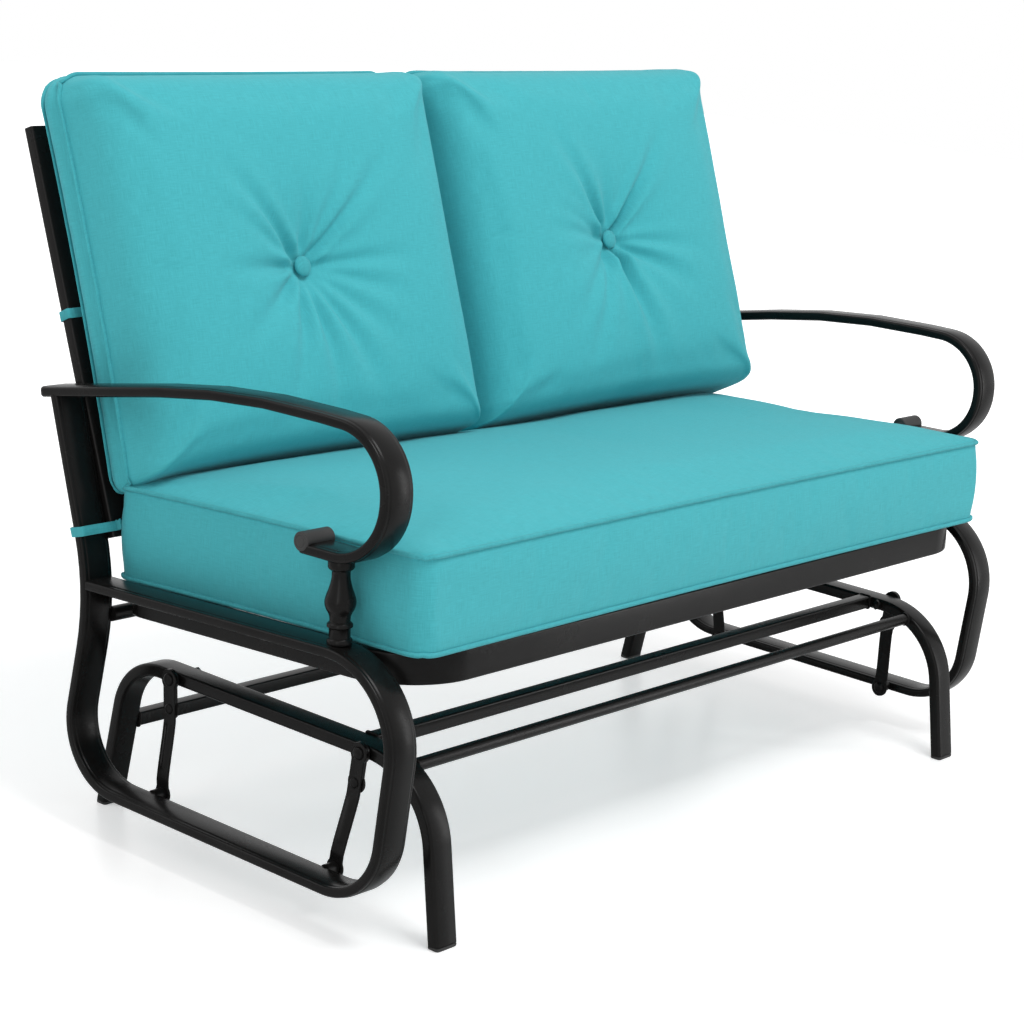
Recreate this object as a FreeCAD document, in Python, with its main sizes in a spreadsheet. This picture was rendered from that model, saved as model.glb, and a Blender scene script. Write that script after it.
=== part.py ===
import FreeCAD, Part
import math
import os
import Sketcher
from FreeCAD import Placement, Rotation, Vector

# Two-seat glider bench: a welded base stands on four legs, and a seat frame hangs under its two
# top bars on four swing links. Loose cushions lie on a slatted steel seat and back.
# Millimetres. X runs along the bench, the front faces -Y, Z is up, the floor is Z = 0.

DRIVING = {
    # whole bench
    "overall_width": 1270,
    "seat_centre_y": -82.865,
    "base_set_back": 10,
    "seat_slope": 3.3,
    # flat tube of the side frames and arms
    "band_width": 44,
    "band_depth": 12,
    "band_raise": 1,
    "band_panel": 30,
    "band_corner": 3,
    # side frame, corners of its middle line
    "upright_top_y": 340,
    "upright_top_z": 579,
    "knee_y": 245.5,
    "knee_z": 303.8,
    "knee_bend": 290,
    "heel_y": 285.4,
    "rail_z": 61,
    "heel_bend": 83,
    "toe_y": -249,
    "toe_bend": 80,
    "brow_y": -270,
    "brow_z": 343,
    "brow_bend": 102,
    # arm
    "arm_rear_y": 344,
    "arm_rear_z": 534.5,
    "arm_crest_y": 11,
    "arm_crest_z": 598,
    "arm_crest_bend": 260,
    "arm_front_y": -228,
    "arm_front_z": 594,
    "arm_curl": 73,
    "arm_tip_y": -93,
    "arm_tip_z": 444.5,
    "arm_tip_bend": 14,
    "arm_tip_rise": 24,
    "arm_cap_length": 5,
    # turned baluster
    "baluster_y": -158,
    "baluster_ring": 15,
    "baluster_bulb": 18,
    # base
    "side_gap": 37,
    "base_tube_width": 35,
    "base_tube_depth": 16.5,
    "base_tube_bevel": 2.5,
    "foot_y": 288,
    "shoulder_y": 254,
    "bar_z": 202,
    "rear_arch_bend": 74,
    "front_arch_bend": 105,
    "upper_stretcher_y": -140,
    "upper_stretcher_size": 18,
    "lower_stretcher_turn": 65,
    "lower_stretcher_size": 16,
    "rear_stretcher_z": 114,
    "foot_plug_height": 4,
    # swing links
    "upper_pivot_y": 162,
    "lower_pivot_y": 149,
    "strap_width": 20,
    "strap_depth": 3.2,
    "strap_eye": 26,
    "strap_joggle": 13,
    "pivot_pin": 8,
    "pin_clearance": 0.05,
    "open_pivot_clearance": 1.3,
    "link_standoff": 6,
    "boss_distance": 37,
    "doubler_depth": 2.5,
    # seat frame
    "seat_tube_height": 38,
    "seat_tube_depth": 20,
    "seat_front_y": -250,
    "seat_rear_y": 236,
    "seat_front_bend": 95,
    "seat_rear_bend": 35,
    "seat_drop": 19,
    "cross_tube": 19,
    "corner_relief": 13.5,
    "slat_width": 25,
    "slat_depth": 3,
    "seat_slats": 9,
    # back frame
    "post_width": 35,
    "post_depth": 15.5,
    "post_bevel": 2,
    "back_lean": 21.3,
    "post_set_back": 14,
    "post_rise": 60.9,
    "post_length": 510,
    "back_rail_height": 25,
    "back_rail_low": 45,
    "back_slats": 9,
    "back_bolt": 6,
    "back_bolt_offset": 1.5,
    # cushions
    "cushion_gap": 0.4,
    "cushion_side_clearance": 0.8,
    "cushion_split_clearance": 1.8,
    "seat_front_overhang": 5,
    "seat_rear_overhang": 14,
    "seat_boxing": 104,
    "seat_crown": 22,
    "seat_belly": 9,
    "back_cushion_height": 484,
    "back_cushion_rise": 68,
    "boxing_bulge": 3,
    "back_boxing": 78,
    "back_crown": 26,
    "back_belly": 8,
    "cushion_corner": 55,
    "side_pull": 5,
    "piping": 6,
    "piping_offset": 2.2,
    "button": 17,
    "tuft_depth": 16,
    "tie_width": 12,
    "tie_depth": 1.6,
    "back_tie_height": 277,
    "seat_tie_height": 73,
    "tie_slack": 0.3,
}

doc = FreeCAD.newDocument("glider_bench")
sheet = doc.addObject("Spreadsheet::Sheet", "Sizes")
for row, (alias, value) in enumerate(DRIVING.items(), start=1):
    sheet.set(f"A{row}", alias)
    sheet.set(f"B{row}", str(value))
    sheet.setAlias(f"B{row}", alias)
doc.recompute()


def size(alias):
    """The value of a driving dimension, read from the sheet."""
    return float(sheet.get(alias))


def bind(thing, prop, formula):
    """Ties a property of a document object to the sheet."""
    thing.setExpression(prop, formula)


half_width = size("overall_width") / 2
seat_y = size("seat_centre_y")
base_y = seat_y + size("base_set_back")
band_thick = size("band_depth") + 2 * size("band_raise")
inner_face = half_width - size("band_width")
band_middle = half_width - size("band_width") / 2
base_outer = inner_face - size("side_gap")
base_inner = base_outer - size("base_tube_width")
seat_slope = math.radians(size("seat_slope"))
back_lean = math.radians(size("back_lean"))
post_foot_y = size("knee_y") + size("post_set_back")
post_foot_z = size("knee_z") + size("post_rise")
piping_reach = size("piping_offset") + size("piping") / 2
base_gap = "(Sizes.overall_width - 2 * Sizes.band_width - 2 * Sizes.side_gap - 2 * Sizes.base_tube_width)"
sides = {"left": -1, "right": 1}
pin_seat_depth = 14
bolt_seat_depth = 12
back_bolt_heights = (70, 130)
finished = []


def new_body(name):
    """A new part-design body whose label is the name of its piece."""
    body = doc.addObject("PartDesign::Body", name)
    body.Label = name
    return body


def keep(piece, position=Vector(0, 0, 0), rotation=Rotation()):
    """Places a finished piece in the bench and lists it for writing."""
    piece.Placement = Placement(position, rotation)
    finished.append(piece)
    return piece


def sketch_on(body, role, name, offset=Placement()):
    """A sketch on one of the body's own origin planes."""
    sketch = body.newObject("Sketcher::SketchObject", f"{body.Name}_{name}")
    plane = next(item for item in body.Origin.OriginFeatures if item.Role == role)
    sketch.AttachmentSupport = [(plane, "")]
    sketch.MapMode = "FlatFace"
    sketch.AttachmentOffset = offset
    return sketch


def polygon(points):
    """Straight edges that close a list of (x, y) points."""
    corners = [Vector(x, y, 0) for x, y in points]
    return [Part.LineSegment(a, b) for a, b in zip(corners, corners[1:] + corners[:1])]


def corner_arc(before, corner, after, radius):
    """Start, middle and end of the arc that rounds a corner."""
    arriving = (corner - before).normalize()
    leaving = (after - corner).normalize()
    turn = arriving.getAngle(leaving)
    reach = radius * math.tan(turn / 2)
    inward = (leaving - arriving).normalize()
    middle = corner + inward * (radius / math.cos(turn / 2) - radius)
    return corner - arriving * reach, middle, corner + leaving * reach


def rounded_polygon(points, radii):
    """Closed edges through points whose corners are rounded by their radii."""
    corners = [Vector(x, y, 0) for x, y in points]
    count = len(corners)
    arcs = [corner_arc(corners[i - 1], corners[i], corners[(i + 1) % count], radii[i])
            for i in range(count)]
    edges = []
    for i, (start, middle, end) in enumerate(arcs):
        edges.append(Part.Arc(start, middle, end))
        edges.append(Part.LineSegment(end, arcs[(i + 1) % count][0]))
    return edges


def bevelled_rectangle(width, depth, bevel, centre=(0, 0)):
    """Closed edges of a rectangle with bevelled corners about a centre."""
    x, y = centre
    w, d = width / 2, depth / 2
    low = [(w - bevel, -d), (w, bevel - d), (w, d - bevel), (w - bevel, d)]
    high = [(bevel - w, d), (-w, d - bevel), (-w, bevel - d), (bevel - w, -d)]
    return polygon([(x + a, y + b) for a, b in low + high])


def add_path(sketch, nodes, bends):
    """Draws a run of straight tubes joined by bends, held by its corners and bend radii.

    Each node is a pair of formulas on the sheet; each bend is the alias of a radius.
    """
    corners = []
    for across, up in nodes:
        corners.append(Vector(sketch.evalExpression(across), sketch.evalExpression(up), 0))
    arcs = [corner_arc(corners[i], corners[i + 1], corners[i + 2], size(bends[i]))
            for i in range(len(bends))]
    ends = [corners[0]] + [point for arc in arcs for point in (arc[0], arc[2])] + [corners[-1]]
    lines = []
    for i in range(len(bends) + 1):
        lines.append(sketch.addGeometry(Part.LineSegment(ends[2 * i], ends[2 * i + 1]), False))
    rounds = [sketch.addGeometry(Part.Arc(*arc), False) for arc in arcs]
    marks = [sketch.addGeometry(Part.Point(corner), True) for corner in corners]
    for (across, up), mark, corner in zip(nodes, marks, corners):
        for kind, formula, value in (("DistanceX", across, corner.x), ("DistanceY", up, corner.y)):
            index = sketch.addConstraint(Sketcher.Constraint(kind, mark, 1, value))
            sketch.setExpression(f"Constraints[{index}]", formula)
    sketch.addConstraint(Sketcher.Constraint("Coincident", lines[0], 1, marks[0], 1))
    sketch.addConstraint(Sketcher.Constraint("Coincident", lines[-1], 2, marks[-1], 1))
    for i, mark in enumerate(marks):
        if i > 0:
            if i < len(marks) - 1:
                sketch.addConstraint(Sketcher.Constraint("PointOnObject", mark, 1, lines[i - 1]))
                sketch.addConstraint(Sketcher.Constraint("PointOnObject", mark, 1, lines[i]))
    for i, bend in enumerate(rounds):
        first, last = arc_ends(sketch, bend, ends[2 * i + 1])
        sketch.addConstraint(Sketcher.Constraint("Tangent", lines[i], 2, bend, first))
        sketch.addConstraint(Sketcher.Constraint("Tangent", lines[i + 1], 1, bend, last))
        index = sketch.addConstraint(Sketcher.Constraint("Radius", bend, size(bends[i])))
        sketch.setExpression(f"Constraints[{index}]", f"Sizes.{bends[i]}")
    return corners


def arc_ends(sketch, arc, near):
    """Which end of a drawn arc, 1 or 2, lies at a point, and the other one."""
    if sketch.getPoint(arc, 1).distanceToPoint(near) < sketch.getPoint(arc, 2).distanceToPoint(near):
        return 1, 2
    return 2, 1


def section_plane(start, after):
    """Offset from the XZ plane to the plane square to a path in the YZ plane at its start."""
    along = after - start
    turn = math.degrees(math.atan2(along.y, along.x))
    return Placement(Vector(0, start.y, -start.x), Rotation(Vector(1, 0, 0), turn))


def band_section(across):
    """Edges of the flat tube's section: a raised panel on each broad face, bevelled rims."""
    w = size("band_width") / 2
    d = size("band_depth") / 2
    p = size("band_panel") / 2
    r = size("band_corner")
    step = size("band_raise")
    outline = [(-w, d - r), (-w + r, d), (-p - step, d), (-p, d + step),
               (p, d + step), (p + step, d), (w - r, d), (w, d - r)]
    low = [(-x, -y) for x, y in outline]
    return polygon([(across + x, y) for x, y in outline + low])


def sweep(body, name, section, spine):
    """Runs a section along a path sketch as part of the body."""
    pipe = body.newObject("PartDesign::AdditivePipe", f"{body.Name}_{name}")
    pipe.Profile = section
    pipe.Spine = (spine, [])
    return pipe


def pad(body, name, sketch, length, both_ways=False, backwards=False):
    """Pads a sketch by a formula on the sheet."""
    feature = body.newObject("PartDesign::Pad", f"{body.Name}_{name}")
    feature.Profile = sketch
    bind(feature, "Length", length)
    if both_ways:
        feature.SideType = "Symmetric"
    feature.Reversed = backwards
    return feature


def trim(body, name, sketch):
    """Cuts a sketch through everything in the body, both ways."""
    feature = body.newObject("PartDesign::Pocket", f"{body.Name}_{name}")
    feature.Profile = sketch
    feature.Type = "ThroughAll"
    feature.SideType = "Symmetric"
    return feature


def bore(body, name, side, face, centres, diameter, depth):
    """Round holes along X, outwards from a plane that faces the middle of the bench."""
    x = sides[side] * (face - 0.5)
    sketch = sketch_on(body, "YZ_Plane", name, Placement(Vector(0, 0, x), Rotation()))
    sketch.addGeometry([Part.Circle(Vector(y, z, 0), Vector(0, 0, 1), diameter / 2)
                        for y, z in centres])
    hole = body.newObject("PartDesign::Pocket", f"{body.Name}_{name}_bore")
    hole.Profile = sketch
    hole.Length = depth + 0.5
    hole.Reversed = side == "right"
    return hole


def post_point(across, along):
    """Bench position (y, z) of a point given across and along the leaning back."""
    y = post_foot_y + across * math.cos(back_lean) + along * math.sin(back_lean)
    z = post_foot_z - across * math.sin(back_lean) + along * math.cos(back_lean)
    return y, z


def seat_rail_height(y):
    """Height of the middle line of the side frame's seat rail."""
    return size("brow_z") - (y - size("brow_y")) * math.tan(seat_slope)


def arm_underside(y):
    """Height of the arm's underside over its straight rear run."""
    run = size("arm_rear_y") - size("arm_crest_y")
    fall = size("arm_crest_z") - size("arm_rear_z")
    slant = math.hypot(run, fall) / run
    return size("arm_rear_z") + (size("arm_rear_y") - y) * fall / run - band_thick / 2 * slant


def side_frame(side):
    """One bent flat tube: upright, heel, bottom rail, toe, brow and seat rail."""
    body = new_body(f"side_frame_{side}")
    across = sides[side] * band_middle
    path = sketch_on(body, "YZ_Plane", "path")
    nodes = [("Sizes.upright_top_y", "Sizes.upright_top_z"), ("Sizes.knee_y", "Sizes.knee_z"),
             ("Sizes.heel_y", "Sizes.rail_z"), ("Sizes.toe_y", "Sizes.rail_z"),
             ("Sizes.brow_y", "Sizes.brow_z"),
             ("0 * Sizes.brow_y", "Sizes.brow_z + Sizes.brow_y * tan(Sizes.seat_slope * 1 deg)")]
    corners = add_path(path, nodes, ["knee_bend", "heel_bend", "toe_bend", "brow_bend"])
    section = sketch_on(body, "XZ_Plane", "section", section_plane(corners[0], corners[1]))
    section.addGeometry(band_section(across), False)
    sweep(body, "tube", section, path)
    rail_start = Vector(0, seat_rail_height(0), 0)
    rail_end = Vector(size("knee_y"), seat_rail_height(size("knee_y")), 0)
    rail = sketch_on(body, "XZ_Plane", "rail", section_plane(rail_start, rail_end))
    rail.addGeometry(band_section(across), False)
    pad(body, "seat_rail", rail, f"{(rail_end - rail_start).Length}", backwards=True)
    crop = sketch_on(body, "YZ_Plane", "crop")
    back, front = size("upright_top_y") + 60, size("upright_top_y") - 80
    crop.addGeometry(polygon([(front, arm_underside(front)), (back, arm_underside(back)),
                              (back, arm_underside(back) + 120), (front, arm_underside(front) + 120)]))
    trim(body, "top_cut", crop)
    pivots = [(size("base_set_back") + sign * size("lower_pivot_y"), size("rail_z")) for sign in (-1, 1)]
    bore(body, "pivots", side, inner_face, pivots, size("pivot_pin") + 0.2, pin_seat_depth + 0.5)
    bolts = [post_point(size("back_bolt_offset"), height) for height in back_bolt_heights]
    bore(body, "bolts", side, inner_face, bolts, size("back_bolt") + 0.2, bolt_seat_depth + 0.5)
    return keep(body, Vector(0, seat_y, 0))


def arm(side):
    """The arm: a flat tube that runs forward, curls under and ends in a turned-up lip."""
    body = new_body(f"arm_{side}")
    path = sketch_on(body, "YZ_Plane", "path")
    curl_low = "Sizes.arm_front_z - 2 * Sizes.arm_curl"
    nodes = [("Sizes.arm_rear_y", "Sizes.arm_rear_z"), ("Sizes.arm_crest_y", "Sizes.arm_crest_z"),
             ("Sizes.arm_front_y", "Sizes.arm_front_z"), ("Sizes.arm_front_y", curl_low),
             ("Sizes.arm_tip_y", "Sizes.arm_tip_z"),
             ("Sizes.arm_tip_y - 8", "Sizes.arm_tip_z + Sizes.arm_tip_rise")]
    corners = add_path(path, nodes, ["arm_crest_bend", "arm_curl", "arm_curl", "arm_tip_bend"])
    section = sketch_on(body, "XZ_Plane", "section", section_plane(corners[0], corners[1]))
    section.addGeometry(band_section(sides[side] * band_middle), False)
    sweep(body, "tube", section, path)
    return keep(body, Vector(0, seat_y, 0))


def base_end_frame(side):
    """A flat tube bent into rear leg, rear arch, level bar, front arch and front leg."""
    body = new_body(f"base_end_frame_{side}")
    path = sketch_on(body, "YZ_Plane", "path")
    floor = "Sizes.foot_plug_height"
    nodes = [("Sizes.foot_y", floor), ("Sizes.shoulder_y", "Sizes.bar_z"),
             ("-Sizes.shoulder_y", "Sizes.bar_z"), ("-Sizes.foot_y", floor)]
    corners = add_path(path, nodes, ["rear_arch_bend", "front_arch_bend"])
    section = sketch_on(body, "XZ_Plane", "section", section_plane(corners[0], corners[1]))
    across = sides[side] * (base_outer + base_inner) / 2
    section.addGeometry(bevelled_rectangle(size("base_tube_width"), size("base_tube_depth"),
                                           size("base_tube_bevel"), (across, 0)), False)
    sweep(body, "tube", section, path)
    level = sketch_on(body, "YZ_Plane", "level")
    reach = size("foot_y") + 60
    level.addGeometry(polygon([(-reach, -30), (reach, -30), (reach, size("foot_plug_height")),
                               (-reach, size("foot_plug_height"))]))
    trim(body, "foot_cut", level)
    pivots = [(sign * size("upper_pivot_y"), size("bar_z")) for sign in (-1, 1)]
    bore(body, "pivots", side, base_inner, pivots, size("pivot_pin") + 0.2, size("base_tube_width") + 1)
    return keep(body, Vector(0, base_y, 0))


def cross_piece(name, outline, length):
    """A straight tube along X, as long as a formula, halfway about the middle."""
    body = new_body(name)
    sketch = sketch_on(body, "YZ_Plane", "section")
    sketch.addGeometry(outline, False)
    pad(body, "run", sketch, length, both_ways=True)
    return body


def circle(y, z, diameter):
    """Edges of a round section."""
    return [Part.Circle(Vector(y, z, 0), Vector(0, 0, 1), diameter / 2)]


def six_sided(y, z, width):
    """Edges of a six-sided section."""
    turns = [math.radians(30 + 60 * i) for i in range(6)]
    return polygon([(y + width / 2 * math.cos(turn), z + width / 2 * math.sin(turn)) for turn in turns])


def base_stretchers():
    """Three tubes that join the base's end frames."""
    square = size("upper_stretcher_size")
    bevel = size("base_tube_bevel")
    upper = bevelled_rectangle(square, square, bevel, (size("upper_stretcher_y"), size("bar_z")))
    keep(cross_piece("base_upper_stretcher", upper, base_gap), Vector(0, base_y, 0))
    shoulder = Vector(-size("shoulder_y"), size("bar_z"), 0)
    foot = Vector(-size("foot_y"), size("foot_plug_height"), 0)
    bend = size("front_arch_bend")
    start = corner_arc(Vector(0, size("bar_z"), 0), shoulder, foot, bend)[0]
    turn = math.radians(size("lower_stretcher_turn"))
    y = start.x - bend * math.cos(turn)
    z = start.y - bend * (1 - math.sin(turn))
    keep(cross_piece("base_lower_stretcher", circle(y, z, size("lower_stretcher_size")), base_gap),
         Vector(0, base_y, 0))
    height = size("rear_stretcher_z")
    lean = (size("foot_y") - size("shoulder_y")) / (size("bar_z") - size("foot_plug_height"))
    rear_y = size("shoulder_y") + (size("bar_z") - height) * lean
    rear = bevelled_rectangle(square, square, bevel, (rear_y, height))
    keep(cross_piece("base_rear_stretcher", rear, base_gap), Vector(0, base_y, 0))


def repeat(name, template, places):
    """One node of separate, equal solids: the template body at each place."""
    links = []
    for place in places:
        link = doc.addObject("App::Link", f"{name}_copy")
        link.LinkedObject = template
        link.Placement = place
        links.append(link)
    group = doc.addObject("Part::Compound", name)
    group.Label = name
    group.Links = links
    finished.append(group)
    return group


def turned(name, outline, role="XZ_Plane"):
    """A body turned about its own Z from half an outline of edges."""
    body = new_body(name)
    sketch = sketch_on(body, role, "half")
    sketch.addGeometry(outline, False)
    turn = body.newObject("PartDesign::Revolution", f"{name}_turn")
    turn.Profile = sketch
    turn.ReferenceAxis = (sketch, ["V_Axis"])
    turn.Angle = 360
    return body


def along_x(side, position, inward=False):
    """Place of a turned piece whose own +Z points outwards, or inwards, along X."""
    x, y, z = position
    sense = -sides[side] if inward else sides[side]
    return Placement(Vector(sides[side] * x, y, z), Rotation(Vector(0, 1, 0), 90 * sense))


def in_fours(x, y, z, inward=False):
    """Places left and right, at +y and -y from the middle of the base."""
    return [along_x(side, (x, base_y + sign * y, z), inward) for side in sides for sign in (-1, 1)]


def foot_plugs():
    """Four plastic plugs that close the legs and stand on the floor."""
    body = new_body("foot_plug")
    sketch = sketch_on(body, "XY_Plane", "outline")
    sketch.addGeometry(bevelled_rectangle(size("base_tube_width"), size("base_tube_depth"), 3), False)
    pad(body, "block", sketch, "Sizes.foot_plug_height")
    x = (base_outer + base_inner) / 2
    places = [Placement(Vector(sign_x * x, base_y + sign_y * size("foot_y"), 0), Rotation())
              for sign_x in (-1, 1) for sign_y in (-1, 1)]
    return repeat("foot_plugs", body, places)


def headed_pin(name, radius, length, head_radius, head_height):
    """A round pin along +Z from zero, with a bevelled head on its far end."""
    steps = [(0, 0), (radius, 0), (radius, length), (head_radius, length),
             (head_radius, length + head_height * 0.4), (head_radius * 0.6, length + head_height),
             (0, length + head_height)]
    return turned(name, polygon(steps))


def ring(name, radius, bore_radius, length):
    """A plain round sleeve along +Z."""
    return turned(name, polygon([(bore_radius, 0), (radius, 0), (radius, length), (bore_radius, length)]))


def pivot_hardware():
    """Bolts, nuts and spacers of the top pivots; pins and bushes of the bottom ones."""
    pin = size("pivot_pin") / 2
    grip = strap_x + size("strap_depth") + 0.05 - base_inner
    bolt = headed_pin("upper_pivot_bolt", pin, grip, 8, 3.5)
    repeat("upper_pivot_bolts", bolt, in_fours(base_inner, size("upper_pivot_y"), size("bar_z")))
    nut = new_body("upper_pivot_nut")
    sketch = sketch_on(nut, "XY_Plane", "outline")
    sketch.addGeometry(six_sided(0, 0, 15), False)
    pad(nut, "block", sketch, "Sizes.pivot_pin * 0.8")
    repeat("upper_pivot_nuts", nut, in_fours(base_inner, size("upper_pivot_y"), size("bar_z"), True))
    spacer = ring("upper_pivot_spacer", 8, pin, strap_x - size("doubler_depth") - 0.1 - base_outer)
    repeat("upper_pivot_spacers", spacer, in_fours(base_outer, size("upper_pivot_y"), size("bar_z")))
    low_x = strap_x + size("strap_joggle")
    start = inner_face + pin_seat_depth
    low_pin = headed_pin("lower_pivot_pin", pin, start - low_x + 0.05, 8, 3.5)
    repeat("lower_pivot_pins", low_pin, in_fours(start, size("lower_pivot_y"), size("rail_z"), True))
    bush_start = low_x + size("strap_depth") + 0.1
    bush = ring("lower_pivot_bush", 8, pin, inner_face - bush_start)
    repeat("lower_pivot_bushes", bush, in_fours(bush_start, size("lower_pivot_y"), size("rail_z")))


def link_places(end):
    """Places of the left and right link at the front or the rear, from their bottom pivots."""
    sign = {"front": -1, "rear": 1}[end]
    step = size("upper_pivot_y") - size("lower_pivot_y")
    lean = -sign * math.degrees(math.atan2(step, size("bar_z") - size("rail_z")))
    foot_y = base_y + sign * size("lower_pivot_y")
    places = {}
    for side, way in sides.items():
        turn = Rotation(Vector(0, 0, 1), 0 if way > 0 else 180)
        upright = Rotation(Vector(1, 0, 0), lean)
        places[side] = Placement(Vector(way * strap_x, foot_y, size("rail_z")), upright.multiply(turn))
    return places


def strap_hole(body, name, height, radius):
    """A round hole through a strap."""
    sketch = sketch_on(body, "YZ_Plane", name)
    sketch.addGeometry(circle(0, height, 2 * radius), False)
    trim(body, f"{name}_cut", sketch)


def strap_disc(body, name, height, x, depth):
    """A round eye or boss on a strap."""
    sketch = sketch_on(body, "YZ_Plane", name, Placement(Vector(0, 0, x), Rotation()))
    sketch.addGeometry(circle(0, height, size("strap_eye")), False)
    pad(body, f"{name}_pad", sketch, depth)


def link(end, side):
    """A swing link: a flat strap, joggled outwards near its foot, with a round eye at each end."""
    body = new_body(f"link_{end}_{side}")
    depth, jog = size("strap_depth"), size("strap_joggle")
    profile = [(jog, 0), (jog, 24), (0, 50), (0, link_length), (depth, link_length), (depth, 51),
               (jog + depth, 25), (jog + depth, 0)]
    sketch = sketch_on(body, "XZ_Plane", "profile")
    sketch.addGeometry(polygon(profile), False)
    pad(body, "strap", sketch, "Sizes.strap_width", both_ways=True)
    strap_disc(body, "top_eye", link_length, 0, "Sizes.strap_depth")
    strap_disc(body, "low_eye", 0, jog, "Sizes.strap_depth")
    rib = sketch_on(body, "YZ_Plane", "rib", Placement(Vector(0, 0, depth), Rotation()))
    rib.addGeometry(bevelled_rectangle(9, 36, 3, (0, 74)), False)
    pad(body, "rib_pad", rib, "Sizes.strap_depth / 4")
    running = size("pivot_pin") / 2 + size("pin_clearance")
    low = running if end == "rear" else size("pivot_pin") / 2 + size("open_pivot_clearance")
    strap_hole(body, "top_hole", link_length, running)
    strap_hole(body, "low_hole", 0, low)
    strap_hole(body, "rivet_hole", boss_height, rivet_radius)
    place = link_places(end)[side]
    return keep(body, place.Base, place.Rotation)


def link_trim(end):
    """Doubler plates between the top eyes and the bosses, with the rivets that hold them."""
    depth = size("doubler_depth")
    body = new_body(f"link_{end}_doubler")
    strap_disc(body, "boss", boss_height, -depth, "Sizes.doubler_depth")
    strap_disc(body, "eye", link_length, -depth, "Sizes.doubler_depth")
    web = sketch_on(body, "YZ_Plane", "web", Placement(Vector(0, 0, -depth), Rotation()))
    half = size("strap_width") / 2
    corners = [(-half, boss_height), (half, boss_height), (half, link_length), (-half, link_length)]
    web.addGeometry(polygon(corners), False)
    pad(body, "web_pad", web, "Sizes.doubler_depth")
    strap_hole(body, "eye_hole", link_length, size("pivot_pin") / 2 + size("pin_clearance"))
    strap_hole(body, "boss_hole", boss_height, rivet_radius)
    places = link_places(end)
    repeat(f"link_{end}_doublers", body, list(places.values()))
    grip = depth + size("strap_depth")
    steps = [(0, -1.3), (5.5, -1.3), (5.5, 0), (rivet_radius, 0), (rivet_radius, grip), (6.5, grip),
             (6.5, grip + 0.8), (4, grip + 2.2), (0, grip + 2.2)]
    rivet = turned(f"link_{end}_rivet", polygon(steps))
    outward = Placement(Vector(-depth, 0, boss_height), Rotation(Vector(0, 1, 0), 90))
    repeat(f"link_{end}_rivets", rivet, [place.multiply(outward) for place in places.values()])


def baluster(side):
    """A turned post between the seat rail and the underside of the arm's curl."""
    low_run = size("arm_front_z") - 2 * size("arm_curl")
    slope = (low_run - size("arm_tip_z")) / (size("arm_tip_y") - size("arm_front_y"))
    y = size("baluster_y")
    foot = seat_rail_height(y) + band_thick / 2 / math.cos(seat_slope)
    under = low_run - (y - size("arm_front_y")) * slope - band_thick / 2 / math.cos(math.atan(slope))
    height = (under - foot) / (math.cos(seat_slope) + math.sin(seat_slope) * slope)
    body = new_body(f"baluster_{side}")
    bulb, rim = size("baluster_bulb"), size("baluster_ring")
    top = height + 2
    sketch = sketch_on(body, "XZ_Plane", "half")
    steps = [(0, 0), (rim - 1, 0), (rim - 1, 6), (rim - 2.5, 8), (rim - 2.5, 19), (rim, 21), (rim, 24),
             (rim - 3.5, 27), (bulb - 0.5, height - 54), (bulb - 0.5, height - 42),
             (rim - 4.5, height - 20), (rim - 4.5, height - 13), (rim, height - 8), (rim, top), (0, top)]
    points = [Vector(x, z, 0) for x, z in steps]
    edges = [Part.LineSegment(a, b) for a, b in zip(points, points[1:] + points[:1])]
    edges[8] = Part.Arc(points[8], Vector(bulb, height - 48, 0), points[9])
    edges[9] = Part.Arc(points[9], Vector(rim - 1.5, height - 31, 0), points[10])
    sketch.addGeometry(edges, False)
    turn = body.newObject("PartDesign::Revolution", f"{body.Name}_turn")
    turn.Profile = sketch
    turn.ReferenceAxis = (sketch, ["V_Axis"])
    turn.Angle = 360
    tilt = seat_slope - math.atan(slope)
    crop = sketch_on(body, "YZ_Plane", "crop")
    reach = 40
    drop = reach * math.tan(tilt)
    crop.addGeometry(polygon([(-reach, height - drop), (reach, height + drop), (reach, height + 60),
                              (-reach, height + 60)]), False)
    trim(body, "top_cut", crop)
    return keep(body, Vector(sides[side] * band_middle, seat_y + y, foot),
                Rotation(Vector(1, 0, 0), -size("seat_slope")))


def arm_caps():
    """Plastic caps on the arms' rear ends and on the lips of their curls."""
    body = new_body("arm_end_cap")
    sketch = sketch_on(body, "XY_Plane", "outline")
    sketch.addGeometry(bevelled_rectangle(size("band_width"), band_thick - 1, 4), False)
    block = pad(body, "block", sketch, "Sizes.arm_cap_length")
    doc.recompute()
    far = [f"Edge{i + 1}" for i, edge in enumerate(block.Shape.Edges)
           if edge.BoundBox.ZMin > size("arm_cap_length") - 0.1]
    soft = body.newObject("PartDesign::Chamfer", "arm_end_cap_bevel")
    soft.Base = (block, far)
    soft.Size = 2.5
    drop = size("arm_crest_z") - size("arm_rear_z")
    rear_fall = math.atan2(drop, size("arm_rear_y") - size("arm_crest_y"))
    lip_lean = math.atan2(8, size("arm_tip_rise"))
    places = []
    for way in sides.values():
        rear = Rotation(Vector(1, 0, 0), -90 - math.degrees(rear_fall))
        end = Vector(way * band_middle, seat_y + size("arm_rear_y"), size("arm_rear_z"))
        places.append(Placement(end, rear))
        lip_z = size("arm_tip_z") + size("arm_tip_rise")
        lip = Vector(way * band_middle, seat_y + size("arm_tip_y") - 8, lip_z)
        places.append(Placement(lip, Rotation(Vector(1, 0, 0), math.degrees(lip_lean))))
    return repeat("arm_end_caps", body, places)


def on_seat(x, y, z):
    """Place of a piece given in the sloping frame of the seat."""
    tilt = Rotation(Vector(1, 0, 0), -size("seat_slope"))
    origin = Vector(0, seat_y, seat_rail_height(0) - size("seat_drop"))
    return Placement(origin + tilt.multVec(Vector(x, y, z)), tilt)


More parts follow.
